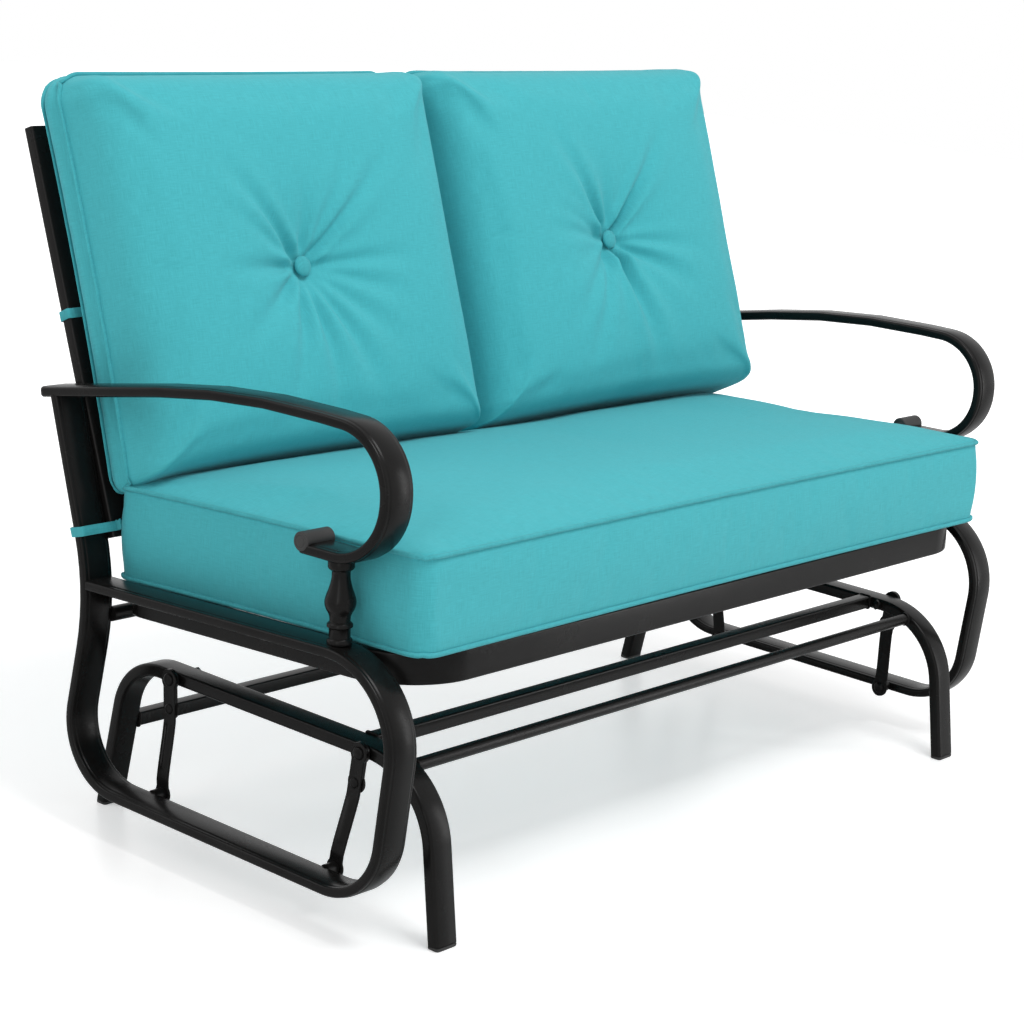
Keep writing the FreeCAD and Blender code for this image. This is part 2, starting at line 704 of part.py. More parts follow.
def on_back(x, across, along):
    """Place of a piece given in the leaning frame of the back."""
    lean = Rotation(Vector(1, 0, 0), -size("back_lean"))
    origin = Vector(0, seat_y + post_foot_y, post_foot_z)
    return Placement(origin + lean.multVec(Vector(x, across, along)), lean)


def seat_frame():
    """The tube ring under the seat with rounded corners."""
    body = new_body("seat_frame")
    wall = size("seat_tube_depth")
    front, rear = size("seat_front_y"), size("seat_rear_y")
    low, high = size("seat_front_bend"), size("seat_rear_bend")
    outer = [(-inner_face, front), (inner_face, front), (inner_face, rear), (-inner_face, rear)]
    inside = inner_face - wall
    inner = [(-inside, front + wall), (inside, front + wall), (inside, rear - wall), (-inside, rear - wall)]
    sketch = sketch_on(body, "XY_Plane", "outline")
    sketch.addGeometry(rounded_polygon(outer, [low, low, high, high]), False)
    sketch.addGeometry(rounded_polygon(inner, [low - wall, low - wall, high - wall, high - wall]), False)
    pad(body, "ring", sketch, "Sizes.seat_tube_height", both_ways=True)
    place = on_seat(0, 0, 0)
    return keep(body, place.Base, place.Rotation)


def slat(name, length):
    """A flat steel slat, flat on XY and long in Y."""
    body = new_body(name)
    sketch = sketch_on(body, "XY_Plane", "outline")
    x, y = size("slat_width") / 2, length / 2
    sketch.addGeometry(polygon([(-x, -y), (x, -y), (x, y), (-x, y)]), False)
    pad(body, "plate", sketch, "Sizes.slat_depth")
    return body


def spread(count, span):
    """Evenly spaced positions about zero, half a space in from each end of a span."""
    return [span * ((i + 0.5) / count - 0.5) for i in range(int(count))]


def seat_deck():
    """Slats across the seat ring and two round tubes under it."""
    top = size("seat_tube_height") / 2
    front, rear = size("seat_front_y") + 5, size("seat_rear_y") - 5
    body = slat("seat_slat", rear - front)
    positions = spread(size("seat_slats"), 2 * inner_face - 60)
    repeat("seat_slats", body, [on_seat(x, (front + rear) / 2, top) for x in positions])
    between = "Sizes.overall_width - 2 * Sizes.band_width"
    inside = between + " - 2 * Sizes.seat_tube_depth - 2 * Sizes.corner_relief"
    front_tube = cross_piece("seat_cross_tube_front", circle(0, 0, size("cross_tube")), inside)
    place = on_seat(0, size("seat_front_y") + 62, -top + size("cross_tube") / 2)
    keep(front_tube, place.Base, place.Rotation)
    rear_tube = cross_piece("seat_cross_tube_rear", circle(0, 0, size("cross_tube")), between)
    keep(rear_tube, Vector(0, seat_y + size("knee_y") + 5, size("knee_z") - 33))


def back_post(side):
    """A leaning flat tube that carries the back, bolted to the side frame's upright."""
    body = new_body(f"back_post_{side}")
    sketch = sketch_on(body, "XY_Plane", "section")
    width, depth = size("post_width"), size("post_depth")
    sketch.addGeometry(bevelled_rectangle(width, depth, size("post_bevel")), False)
    pad(body, "run", sketch, "Sizes.post_length")
    holes = sketch_on(body, "YZ_Plane", "holes")
    for height in back_bolt_heights:
        holes.addGeometry(circle(size("back_bolt_offset"), height, size("back_bolt")), False)
    trim(body, "bolt_holes", holes)
    place = on_back(sides[side] * (inner_face - width / 2), 0, 0)
    return keep(body, place.Base, place.Rotation)


def back_deck():
    """Rails between the back posts, upright slats in front of them, and the posts' bolts."""
    height, depth = size("back_rail_height"), size("post_depth")
    between = "Sizes.overall_width - 2 * Sizes.band_width - 2 * Sizes.post_width"
    levels = {"back_top_rail": size("post_length") - height / 2, "back_lower_rail": size("back_rail_low")}
    for name, along in levels.items():
        rail = cross_piece(name, bevelled_rectangle(depth, height, size("post_bevel")), between)
        place = on_back(0, 0, along)
        keep(rail, place.Base, place.Rotation)
    low = size("back_rail_low") - height / 2 + 3
    high = size("post_length") - 3
    body = slat("back_slat", high - low)
    stand = Placement(Vector(0, 0, 0), Rotation(Vector(1, 0, 0), 90))
    positions = spread(size("back_slats"), 2 * (inner_face - size("post_width")))
    repeat("back_slats", body, [on_back(x, -depth / 2, (low + high) / 2).multiply(stand) for x in positions])
    length = size("post_width") + bolt_seat_depth
    bolt = headed_pin("back_bolt", size("back_bolt") / 2, length, 6.5, 3)
    places = []
    for along in back_bolt_heights:
        y, z = post_point(size("back_bolt_offset"), along)
        places += [along_x(side, (inner_face + bolt_seat_depth, seat_y + y, z), True) for side in sides]
    repeat("back_bolts", bolt, places)


def drawn_outline(width, depth, radius, pull):
    """Closed, smooth edges of a cushion's plan: round corners, sides drawn in by a pull.

    The front side is split at its middle, where the outline starts.
    """
    k = Vector(width / 2 - radius, depth / 2 - radius, 0)
    long_reach = (k.x ** 2 + pull ** 2) / (2 * pull)
    short_reach = (k.y ** 2 + pull ** 2) / (2 * pull)
    above = Vector(0, k.y + radius - pull + long_reach - radius, 0)
    beside = Vector(k.x + radius - pull + short_reach - radius, 0, 0)
    to_long = k + (above - k).normalize() * radius
    to_short = k + (beside - k).normalize() * radius
    corner = k + ((to_long - k) + (to_short - k)).normalize() * radius

    def at(point, sx, sy):
        return Vector(point.x * sx, point.y * sy, 0)

    front = Vector(0, -depth / 2 + pull, 0)
    rear = Vector(0, depth / 2 - pull, 0)
    side = Vector(width / 2 - pull, 0, 0)
    spread_x = to_long.x / 2
    long_arc = long_reach - radius
    quarter_y = -(above.y - math.sqrt(long_arc ** 2 - spread_x ** 2))
    return [Part.Arc(front, Vector(spread_x, quarter_y, 0), at(to_long, 1, -1)),
            Part.Arc(at(to_long, 1, -1), at(corner, 1, -1), at(to_short, 1, -1)),
            Part.Arc(at(to_short, 1, -1), side, to_short), Part.Arc(to_short, corner, to_long),
            Part.Arc(to_long, rear, at(to_long, -1, 1)),
            Part.Arc(at(to_long, -1, 1), at(corner, -1, 1), at(to_short, -1, 1)),
            Part.Arc(at(to_short, -1, 1), Vector(-side.x, 0, 0), at(to_short, -1, -1)),
            Part.Arc(at(to_short, -1, -1), at(corner, -1, -1), at(to_long, -1, -1)),
            Part.Arc(at(to_long, -1, -1), Vector(-spread_x, quarter_y, 0), front)]


def cushion(name, width, depth, boxing, crown, belly, tufted=False):
    """A boxed cushion: its underside's seam lies on XY, its crown rises along +Z.

    Each step is a plan outline at a height, drawn in by an inset from the seam's outline.
    """
    body = new_body(name)
    radius, pull = size("cushion_corner"), size("side_pull")
    low = [(-belly, 110), (-belly * 0.8, 60), (0, 0)]
    middle = [(0, 0), (boxing / 2, -size("boxing_bulge")), (boxing, 0)]
    high = [(boxing, 0), (boxing + crown * 0.62, 45), (boxing + crown * 0.93, 100), (boxing + crown, 145)]
    for part, steps in (("belly", low), ("boxing", middle), ("crown", high)):
        sections = []
        for i, (height, inset) in enumerate(steps):
            level = sketch_on(body, "XY_Plane", f"{part}_{i}", Placement(Vector(0, 0, height), Rotation()))
            outline = drawn_outline(width - 2 * inset, depth - 2 * inset, radius, pull)
            level.addGeometry(outline, False)
            sections.append(level)
        loft = body.newObject("PartDesign::AdditiveLoft", f"{name}_{part}")
        loft.Profile = sections[0]
        loft.Sections = sections[1:]
    if tufted:
        top = boxing + crown
        floor = top - size("tuft_depth")
        start, reach = size("button") / 2 + 1, 75
        sphere = ((reach - start) ** 2 + size("tuft_depth") ** 2) / (2 * size("tuft_depth"))
        half = math.asin((reach - start) / sphere) / 2
        bulge = Vector(reach - sphere * math.sin(half), top - sphere * (1 - math.cos(half)), 0)
        dimple = sketch_on(body, "XZ_Plane", "dimple")
        corners = [Vector(0, floor, 0), Vector(start, floor, 0), Vector(reach, top, 0),
                   Vector(reach, top + 20, 0), Vector(0, top + 20, 0)]
        edges = [Part.LineSegment(a, b) for a, b in zip(corners, corners[1:] + corners[:1])]
        edges[1] = Part.Arc(corners[1], bulge, corners[2])
        dimple.addGeometry(edges, False)
        tuft = body.newObject("PartDesign::Groove", f"{name}_tuft")
        tuft.Profile = dimple
        tuft.ReferenceAxis = (dimple, ["V_Axis"])
        tuft.Angle = 360
    return body


def piping(name, width, depth, boxing, place):
    """Two round cords that run just outside a cushion's seams."""
    off = size("piping_offset")
    pull = size("side_pull")
    loops = []
    for seam, height in (("low", -off), ("high", boxing + off)):
        body = new_body(f"{name}_{seam}")
        path = sketch_on(body, "XY_Plane", "seam", Placement(Vector(0, 0, height), Rotation()))
        corner = size("cushion_corner") + off
        path.addGeometry(drawn_outline(width + 2 * off, depth + 2 * off, corner, pull), False)
        section = sketch_on(body, "YZ_Plane", "section")
        section.addGeometry(six_sided(-depth / 2 - off + pull, height, size("piping")), False)
        sweep(body, "cord", section, path)
        body.Placement = place
        loops.append(body)
    group = doc.addObject("Part::Compound", name)
    group.Label = name
    group.Links = loops
    finished.append(group)


def seat_cushion_plan():
    """Width and depth of the seat cushion's seam, and its middle along the seat."""
    limit = inner_face - size("cushion_side_clearance") - piping_reach
    front_edge = size("seat_front_y") - size("seat_front_overhang")
    rear_edge = size("seat_rear_y") + size("seat_rear_overhang")
    return 2 * limit, rear_edge - front_edge, (rear_edge + front_edge) / 2


def cushions():
    """One seat cushion on the seat slats and two tufted back cushions against the back slats."""
    top = size("seat_tube_height") / 2 + size("slat_depth") + size("cushion_gap") + size("seat_belly")
    seat_width, depth, middle = seat_cushion_plan()
    seat = cushion("seat_cushion", seat_width, depth, size("seat_boxing"),
                   size("seat_crown"), size("seat_belly"))
    place = on_seat(0, middle, top)
    keep(seat, place.Base, place.Rotation)
    piping("seat_cushion_piping", seat_width, depth, size("seat_boxing"), place)
    split = piping_reach + size("cushion_split_clearance")
    width, height = seat_width / 2 - split, size("back_cushion_height")
    front = -(size("post_depth") / 2 + size("slat_depth") + size("cushion_gap") + size("back_belly"))
    face = Placement(Vector(0, 0, 0), Rotation(Vector(1, 0, 0), 90))
    along = size("back_cushion_rise") + height / 2
    x = (seat_width / 2 + split) / 2
    places = []
    for side, way in sides.items():
        body = cushion(f"back_cushion_{side}", width, height, size("back_boxing"), size("back_crown"),
                       size("back_belly"), tufted=True)
        place = on_back(way * x, front, along).multiply(face)
        keep(body, place.Base, place.Rotation)
        piping(f"back_cushion_piping_{side}", width, height, size("back_boxing"), place)
        floor = size("back_boxing") + size("back_crown") - size("tuft_depth")
        places.append(place.multiply(Placement(Vector(0, 0, floor), Rotation())))
    button = headed_pin("back_button", size("button") / 2 - 1, 2, size("button") / 2, 4)
    repeat("back_buttons", button, places)


def tie(name, place, box, tail_x, tail_length):
    """A cloth strap around a post, with a tail to the cushion.

    The box holds the strap's inner limits: left, right, front and rear.
    """
    body = new_body(name)
    t = size("tie_depth")
    left, right, front, rear = box
    inner = [(left, front), (right, front), (right, rear), (left, rear)]
    outer = [(left - t, front - t), (right + t, front - t), (right + t, rear + t), (left - t, rear + t)]
    sketch = sketch_on(body, "XY_Plane", "loop")
    sketch.addGeometry(polygon(outer) + polygon(inner), False)
    pad(body, "loop_pad", sketch, "Sizes.tie_width", both_ways=True)
    tail = sketch_on(body, "XY_Plane", "tail")
    near, far = front - t / 2, front - t - tail_length
    low, high = tail_x - t / 2, tail_x + t / 2
    tail.addGeometry(polygon([(low, near), (low, far), (high, far), (high, near)]), False)
    pad(body, "tail_pad", tail, "Sizes.tie_width", both_ways=True)
    return keep(body, place.Base, place.Rotation)


def seat_cushion_rear(x, z):
    """Position y of the seat cushion's rear face at a distance x from the middle and a height."""
    width, depth, middle = seat_cushion_plan()
    bulge = 2 * size("boxing_bulge")
    edges = drawn_outline(width + bulge, depth + bulge, size("cushion_corner"), size("side_pull"))
    across = Part.makeLine(Vector(x, 0, 0), Vector(x, depth, 0))
    rear = middle + Part.Wire([edge.toShape() for edge in edges]).distToShape(across)[1][0][0].y
    rise = z - (seat_rail_height(0) - size("seat_drop"))
    return seat_y + rear / math.cos(seat_slope) + rise * math.tan(seat_slope)


def ties():
    """Straps that hold the back cushions to the back posts and the seat cushion to the side frames."""
    slack = size("tie_slack")
    half = size("post_depth") / 2
    deck = size("slat_depth") + size("cushion_gap")
    back_tail = deck + 0.69 * size("back_belly") - slack - size("tie_depth")
    for side, way in sides.items():
        x = way * (inner_face - size("post_width") / 2)
        reach = size("post_width") / 2 + slack
        box = (-reach, reach, -half - slack, half + slack)
        tie(f"back_tie_{side}", on_back(x, 0, size("back_tie_height")), box, -way * 8, back_tail)
        lean = math.atan2(size("upright_top_y") - size("knee_y"), size("upright_top_z") - size("knee_z"))
        rise = size("seat_tie_height")
        upright = Vector(0, seat_y + size("knee_y") + rise * math.tan(lean), size("knee_z") + rise)
        turn = Rotation(Vector(1, 0, 0), -size("back_lean"))
        foot = Vector(0, seat_y + post_foot_y, post_foot_z)
        gap = turn.inverted().multVec(foot - upright).y
        outer, inner = way * (half_width + slack), way * (inner_face - size("post_width") - slack)
        front = min(gap - half, -band_thick / 2) - slack
        rear = max(gap + half, band_thick / 2) + slack
        tail_x = inner_face - size("post_width") + 8
        lean_off = back_lean - seat_slope
        low_edge = size("tie_width") / 2 * math.tan(lean_off)
        gap_y = upright.y - seat_cushion_rear(tail_x - size("tie_depth") / 2, upright.z)
        run = gap_y * math.cos(seat_slope) / math.cos(lean_off)
        seat_tail = run + front - size("tie_depth") - low_edge - slack
        box = (min(outer, inner), max(outer, inner), front, rear)
        tie(f"seat_tie_{side}", Placement(upright, turn), box, way * tail_x, seat_tail)


rivet_radius = 3
strap_x = base_outer + size("link_standoff")
link_length = math.hypot(size("upper_pivot_y") - size("lower_pivot_y"), size("bar_z") - size("rail_z"))
boss_height = link_length - size("boss_distance")

for side in sides:
    base_end_frame(side)
base_stretchers()
foot_plugs()
pivot_hardware()
for end in ("front", "rear"):
    for side in sides:
        link(end, side)
    link_trim(end)
for side in sides:
    side_frame(side)
    arm(side)
    baluster(side)
    back_post(side)
arm_caps()
seat_frame()
seat_deck()
back_deck()
cushions()
ties()
doc.recompute()

for item in doc.Objects:
    if "Invalid" in item.State or "Error" in item.State:
        raise RuntimeError(f"{item.Name} does not rebuild: {item.State}")
os.makedirs("parts", exist_ok=True)
for piece in finished:
    shape = piece.Shape
    if shape.isNull() or not shape.isValid():
        raise RuntimeError(f"{piece.Label} has no valid shape")
    shape.exportStep(f"parts/{piece.Label}.step")
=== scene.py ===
import math
from functools import partial

import bmesh
import bpy
from bpy.props import FloatProperty, FloatVectorProperty, IntProperty, PointerProperty
from mathutils import Matrix, Vector, noise


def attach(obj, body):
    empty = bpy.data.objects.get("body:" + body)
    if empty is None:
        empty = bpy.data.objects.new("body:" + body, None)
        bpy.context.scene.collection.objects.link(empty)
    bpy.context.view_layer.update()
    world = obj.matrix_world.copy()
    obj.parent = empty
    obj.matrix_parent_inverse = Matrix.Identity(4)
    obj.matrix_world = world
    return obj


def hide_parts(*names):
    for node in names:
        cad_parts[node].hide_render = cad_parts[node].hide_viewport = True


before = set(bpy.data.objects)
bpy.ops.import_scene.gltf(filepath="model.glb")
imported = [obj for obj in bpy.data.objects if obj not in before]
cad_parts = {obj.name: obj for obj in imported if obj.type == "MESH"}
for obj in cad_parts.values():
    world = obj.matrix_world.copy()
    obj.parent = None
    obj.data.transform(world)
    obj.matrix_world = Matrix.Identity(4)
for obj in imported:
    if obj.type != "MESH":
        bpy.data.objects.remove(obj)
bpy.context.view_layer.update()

bl_info = {
    "name": "Glider bench",
    "version": (1, 0, 0),
    "blender": (4, 5, 0),
    "location": "View3D > Sidebar > Glider bench",
    "description": "Builds the looks of a porch glider bench around its construction model",
    "category": "Object",
}

MM = 0.001
SIDES = {"left": -1, "right": 1}
ENDS = {"front": -1, "rear": 1}
RIGHT, BACK, UP = Vector((1, 0, 0)), Vector((0, 1, 0)), Vector((0, 0, 1))

# Places in the construction model, in metres. The pivots' y is from the middle of the base.
SEAT_Y = -82.865 * MM
BASE_Y = -72.865 * MM
INNER_FACE = 0.591
BAND_MIDDLE = 0.613
BASE_INNER = 0.519
BASE_MIDDLE = 0.5365
BAR_Z = 0.202
RAIL_Z = 0.061
UPPER_PIVOT_Y = 0.162
LOWER_PIVOT_Y = 0.149
STRAP_X = 0.560
LINK_LENGTH = math.hypot(UPPER_PIVOT_Y - LOWER_PIVOT_Y, BAR_Z - RAIL_Z)
SEAT_SLOPE = math.radians(3.3)
BACK_LEAN = math.radians(21.3)


# ---- small helpers

def seat_point(x, y, z):
    """A point given in millimetres from the middle of the seat, in the frame's metres."""
    return Vector((x * MM, y * MM + SEAT_Y, z * MM))


def base_point(x, y, z):
    """A point given in millimetres from the middle of the base, in the frame's metres."""
    return Vector((x * MM, y * MM + BASE_Y, z * MM))


def tilt(angle):
    """Matrix of a turn about X."""
    return Matrix.Rotation(angle, 4, "X")


def bar_height(y):
    """Height of the side frames' sloping top at a place y, both in millimetres."""
    return 343 - (y + 270) * math.tan(SEAT_SLOPE)


def seat_place():
    """Matrix of the sloping seat: its XY plane lies at the middle of the seat ring."""
    return Matrix.Translation(seat_point(0, 0, bar_height(0) - 19)) @ tilt(-SEAT_SLOPE)


def back_place():
    """Matrix of the leaning back: Z runs up the posts from their feet, -Y faces the sitter."""
    return Matrix.Translation(seat_point(0, 259.5, 364.7)) @ tilt(-BACK_LEAN)


def link_place(end, side):
    """Matrix of a swing link: Z runs up from its bottom pivot, X points outwards."""
    sign, way = ENDS[end], SIDES[side]
    lean = -sign * math.atan2(UPPER_PIVOT_Y - LOWER_PIVOT_Y, BAR_Z - RAIL_Z)
    foot = Vector((way * STRAP_X, sign * LOWER_PIVOT_Y + BASE_Y, RAIL_Z))
    turn = Matrix.Rotation(0 if way > 0 else math.pi, 4, "Z")
    return Matrix.Translation(foot) @ tilt(lean) @ turn


def millimetres(points):
    """Points given in millimetres, in metres."""
    return [tuple(value * MM for value in point) for point in points]


def run_lengths(points):
    """How far along a run of points each of them lies."""
    lengths = [0.0]
    for a, b in zip(points, points[1:]):
        lengths.append(lengths[-1] + (b - a).length)
    return lengths


def bent_path(corners, radii, degrees=4):
    """Points of a run of straights joined by round bends, in the plane of its corners."""
    corners = [Vector(c) for c in corners]
    points = [corners[0]]
    for before, corner, after, radius in zip(corners, corners[1:], corners[2:], radii):
        arriving = (corner - before).normalized()
        leaving = (after - corner).normalized()
        turn = arriving.angle(leaving)
        reach = radius * math.tan(turn / 2)
        start = corner - arriving * reach
        inward = (leaving - arriving * arriving.dot(leaving)).normalized()
        centre = start + inward * radius
        steps = max(2, round(math.degrees(turn) / degrees))
        for i in range(steps + 1):
            angle = turn * i / steps
            points.append(centre - inward * radius * math.cos(angle)
                          + arriving * radius * math.sin(angle))
    points.append(corners[-1])
    return points


def closed_path(corners, radii, degrees=5):
    """Points of a closed run through corners that are all rounded."""
    count = len(corners)
    points = []
    for i in range(count):
        run = [corners[i - 1], corners[i], corners[(i + 1) % count]]
        points += bent_path(run, [radii[i]], degrees)[1:-1]
    return points


def rounded_section(width, depth, radius, steps=4):
    """Outline of a tube's section with round corners, width along x."""
    w, d = width / 2, depth / 2
    points = []
    for cx, cy, start in ((w - radius, d - radius, 0), (radius - w, d - radius, 90),
                          (radius - w, radius - d, 180), (w - radius, radius - d, 270)):
        for i in range(steps + 1):
            angle = math.radians(start + 90 * i / steps)
            points.append((cx + radius * math.cos(angle), cy + radius * math.sin(angle)))
    return points


def round_section(radius, sides=24):
    """Outline of a round tube's section."""
    turns = [2 * math.pi * i / sides for i in range(sides)]
    return [(radius * math.cos(a), radius * math.sin(a)) for a in turns]


def band_section(metal):
    """Outline of the flat tube: soft rims, a step on each side and a raised middle panel."""
    w, d = metal.band_width / 2, metal.band_depth / 2
    p, step = metal.band_panel / 2, metal.band_raise
    rim = 0.0034
    top = []
    for i in range(5):
        angle = math.radians(90 * i / 4)
        top.append((w - rim + rim * math.cos(angle), d - rim + rim * math.sin(angle)))
    top += [(p + out, d + step * share)
            for out, share in ((0.0022, 0), (0.0012, 0.2), (0.0004, 0.7), (-0.0006, 1))]
    half = top + [(-x, y) for x, y in reversed(top)]
    return half + [(-x, -y) for x, y in half]


def finish_mesh(obj, angle=35):
    """Smooth shading with sharp edges over an angle."""
    mesh = obj.data
    mesh.shade_smooth()
    mesh.set_sharp_from_angle(angle=math.radians(angle))
    return obj


def new_object(name, data):
    """A new object in the scene."""
    obj = bpy.data.objects.new(name, data)
    bpy.context.scene.collection.objects.link(obj)
    return obj


def new_mesh(name, points, faces=()):
    """A new mesh of points and faces."""
    mesh = bpy.data.meshes.new(name)
    mesh.from_pydata([tuple(point) for point in points], [], faces)
    return mesh


def evaluated(obj):
    """A new mesh of what an object's modifiers give."""
    graph = bpy.context.evaluated_depsgraph_get()
    return bpy.data.meshes.new_from_object(obj.evaluated_get(graph), depsgraph=graph)


def baked(name, source, angle=35):
    """A plain mesh object of what an object's modifiers give, in the place of that object."""
    mesh = evaluated(source)
    mesh.name = name
    bpy.data.objects.remove(source)
    return finish_mesh(new_object(name, mesh), angle)


def curve_object(name, points, cyclic=False):
    """A poly curve through points."""
    data = bpy.data.curves.new(name, "CURVE")
    data.dimensions = "3D"
    spline = data.splines.new("POLY")
    spline.points.add(len(points) - 1)
    for knot, point in zip(spline.points, points):
        knot.co = (*Vector(point).to_3d(), 1.0)
    spline.use_cyclic_u = cyclic
    return new_object(name, data)


def joined(name, parts, angle=35):
    """One object of several that share a material and are all at the origin."""
    whole = bmesh.new()
    for part in parts:
        whole.from_mesh(part.data)
    mesh = bpy.data.meshes.new(name)
    whole.to_mesh(mesh)
    whole.free()
    for material in parts[0].data.materials:
        mesh.materials.append(material)
    for part in parts:
        bpy.data.objects.remove(part)
    return finish_mesh(new_object(name, mesh), angle)


def lofted(name, rows):
    """A closed mesh through rows of points, flat at both ends."""
    count = len(rows[0])
    points = [point for row in rows for point in row]
    faces = [tuple(range(count))[::-1], tuple(range(len(points) - count, len(points)))]
    for start in range(0, len(points) - count, count):
        for i in range(count):
            low, next_low = start + i, start + (i + 1) % count
            faces.append((low, next_low, next_low + count, low + count))
    mesh = new_mesh(name, points, faces)
    work = bmesh.new()
    work.from_mesh(mesh)
    bmesh.ops.recalc_face_normals(work, faces=work.faces)
    work.to_mesh(mesh)
    work.free()
    return new_object(name, mesh)


def turned(name, outline, sides=32):
    """A mesh turned about Z from (radius, height) steps that start and end on the axis."""
    verts, faces, rings = [], [], []
    for radius, height in outline:
        around = round_section(radius, sides) if radius > 1e-6 else [(0, 0)]
        rings.append(list(range(len(verts), len(verts) + len(around))))
        verts += [(x, y, height) for x, y in around]
    for low, high in zip(rings, rings[1:]):
        for i in range(sides):
            face = [ring[k % len(ring)] for ring, k in ((low, i), (low, (i + 1) % sides),
                                                        (high, (i + 1) % sides), (high, i))]
            faces.append(tuple(dict.fromkeys(face)))
    return new_object(name, new_mesh(name, verts, faces))


def smooth_outline(knots, steps=6):
    """A smooth run of (radius, height) steps through knots."""
    points = []
    for i in range(len(knots) - 1):
        a = Vector(knots[max(i - 1, 0)])
        b, c = Vector(knots[i]), Vector(knots[i + 1])
        d = Vector(knots[min(i + 2, len(knots) - 1)])
        for k in range(steps):
            t = k / steps
            point = 0.5 * ((2 * b) + (c - a) * t + (2 * a - 5 * b + 4 * c - d) * t ** 2
                           + (3 * b - a - 3 * c + d) * t ** 3)
            points.append((max(point.x, 0.0), point.y))
    points.append(tuple(knots[-1]))
    return points


# ---- node trees

def feed(tree, target, inputs):
    """Gives a node's inputs a value or another node's output each, and gives back its outputs."""
    for key, value in inputs.items():
        if isinstance(value, bpy.types.NodeSocket):
            tree.links.new(value, target.inputs[key])
        else:
            target.inputs[key].default_value = value
    return target.outputs


def node(tree, kind, inputs=None, **settings):
    """Adds a node with its settings, feeds its inputs and gives back its outputs."""
    made = tree.nodes.new(kind)
    for key, value in settings.items():
        setattr(made, key, value)
    return feed(tree, made, inputs or {})


def new_tree(name, inputs):
    """A geometry tree that takes a geometry, more inputs and a material, and those as outputs."""
    tree = bpy.data.node_groups.new(name, "GeometryNodeTree")
    tree.interface.new_socket("Geometry", in_out="OUTPUT", socket_type="NodeSocketGeometry")
    for key, kind in {"Geometry": "Geometry", **inputs, "Material": "Material"}.items():
        tree.interface.new_socket(key, in_out="INPUT", socket_type=f"NodeSocket{kind}")
    return tree, node(tree, "NodeGroupInput")


def tree_ending(tree, shape, source):
    """Realizes instances and sets the material, then leaves the tree."""
    solid = node(tree, "GeometryNodeRealizeInstances", {"Geometry": shape})["Geometry"]
    paint = {"Geometry": solid, "Material": source["Material"]}
    painted = node(tree, "GeometryNodeSetMaterial", paint)["Geometry"]
    node(tree, "NodeGroupOutput", {"Geometry": painted})
    return tree


def section_along_path(name):
    """Tree that runs a section along a path, with the section's x axis held to a direction."""
    tree, source = new_tree(name, {"Section": "Object", "Section X": "Vector"})
    held = {"Curve": source["Geometry"], "Normal": source["Section X"]}
    aim = node(tree, "GeometryNodeSetCurveNormal", held, mode="FREE")
    section = node(tree, "GeometryNodeObjectInfo", {"Object": source["Section"]})
    run = {"Curve": aim["Curve"], "Profile Curve": section["Geometry"], "Fill Caps": True}
    return tree_ending(tree, node(tree, "GeometryNodeCurveToMesh", run)["Mesh"], source)


def piece_on_points(name):
    """Tree that puts a piece on every point, its own Z along the point's outward direction."""
    tree, source = new_tree(name, {"Piece": "Object", "Size": "Float"})
    piece = node(tree, "GeometryNodeObjectInfo", {"Object": source["Piece"]})
    outward = node(tree, "GeometryNodeInputNamedAttribute", {"Name": "outward"},
                   data_type="FLOAT_VECTOR")
    way = {"Vector": outward["Attribute"]}
    aim = node(tree, "FunctionNodeAlignRotationToVector", way, axis="Z")
    points = node(tree, "GeometryNodeMeshToPoints", {"Mesh": source["Geometry"]})
    spread = {"Points": points["Points"], "Instance": piece["Geometry"],
              "Rotation": aim["Rotation"], "Scale": source["Size"]}
    copies = node(tree, "GeometryNodeInstanceOnPoints", spread)["Instances"]
    return tree_ending(tree, copies, source)


def apply_tree(obj, make, values):
    """Puts a geometry tree, made once, on an object and sets its inputs by their identifiers."""
    name = make.__name__
    modifier = obj.modifiers.new(name, "NODES")
    modifier.node_group = bpy.data.node_groups.get(name) or make(name)
    for item in modifier.node_group.interface.items_tree:
        if item.item_type == "SOCKET" and item.in_out == "INPUT" and item.name in values:
            modifier[item.identifier] = values[item.name]


def tube(name, path, section, across, material, cyclic=False, angle=35):
    """A solid tube along a path of points; across is the direction of the section's width."""
    line = curve_object(f"{name}_path", path, cyclic)
    profile = curve_object(f"{name}_section", section, True)
    apply_tree(line, section_along_path,
         {"Section": profile, "Section X": tuple(across), "Material": material})
    obj = baked(name, line, angle)
    bpy.data.objects.remove(profile)
    return obj


def scattered(name, piece, spots, material, size=1.0):
    """Copies of a piece at spots, each a point and an outward direction."""
    mesh = new_mesh(f"{name}_spots", [point for point, _ in spots])
    outward = mesh.attributes.new("outward", "FLOAT_VECTOR", "POINT")
    for item, (_, direction) in zip(outward.data, spots):
        item.vector = tuple(direction)
    holder = new_object(f"{name}_holder", mesh)
    apply_tree(holder, piece_on_points, {"Piece": piece, "Size": size, "Material": material})
    obj = baked(name, holder)
    bpy.data.objects.remove(piece)
    return obj


# ---- finishes

def shade(colour, share, lift=0.0):
    """A colour made darker or lighter."""
    return tuple(min(value * share + lift, 1) for value in colour)


def new_material(name, colour, roughness, coordinates="Object"):
    """A material, its tree, its shader and the coordinates that its patterns follow."""
    material = bpy.data.materials.new(name)
    material.use_nodes = True
    tree = material.node_tree
    shader = tree.nodes["Principled BSDF"]
    feed(tree, shader, {"Base Color": (*colour, 1), "Roughness": roughness})
    return material, tree, shader, node(tree, "ShaderNodeTexCoord")[coordinates]


def ramp(tree, factor, dark, light, low=0.35, high=0.65):
    """A ramp between two colours over a range of a factor."""
    made = tree.nodes.new("ShaderNodeValToRGB")
    stops = made.color_ramp.elements
    for stop, place, colour in zip(stops, (low, high), (dark, light)):
        stop.position = place
        stop.color = (*colour, 1)
    return feed(tree, made, {"Fac": factor})["Color"]


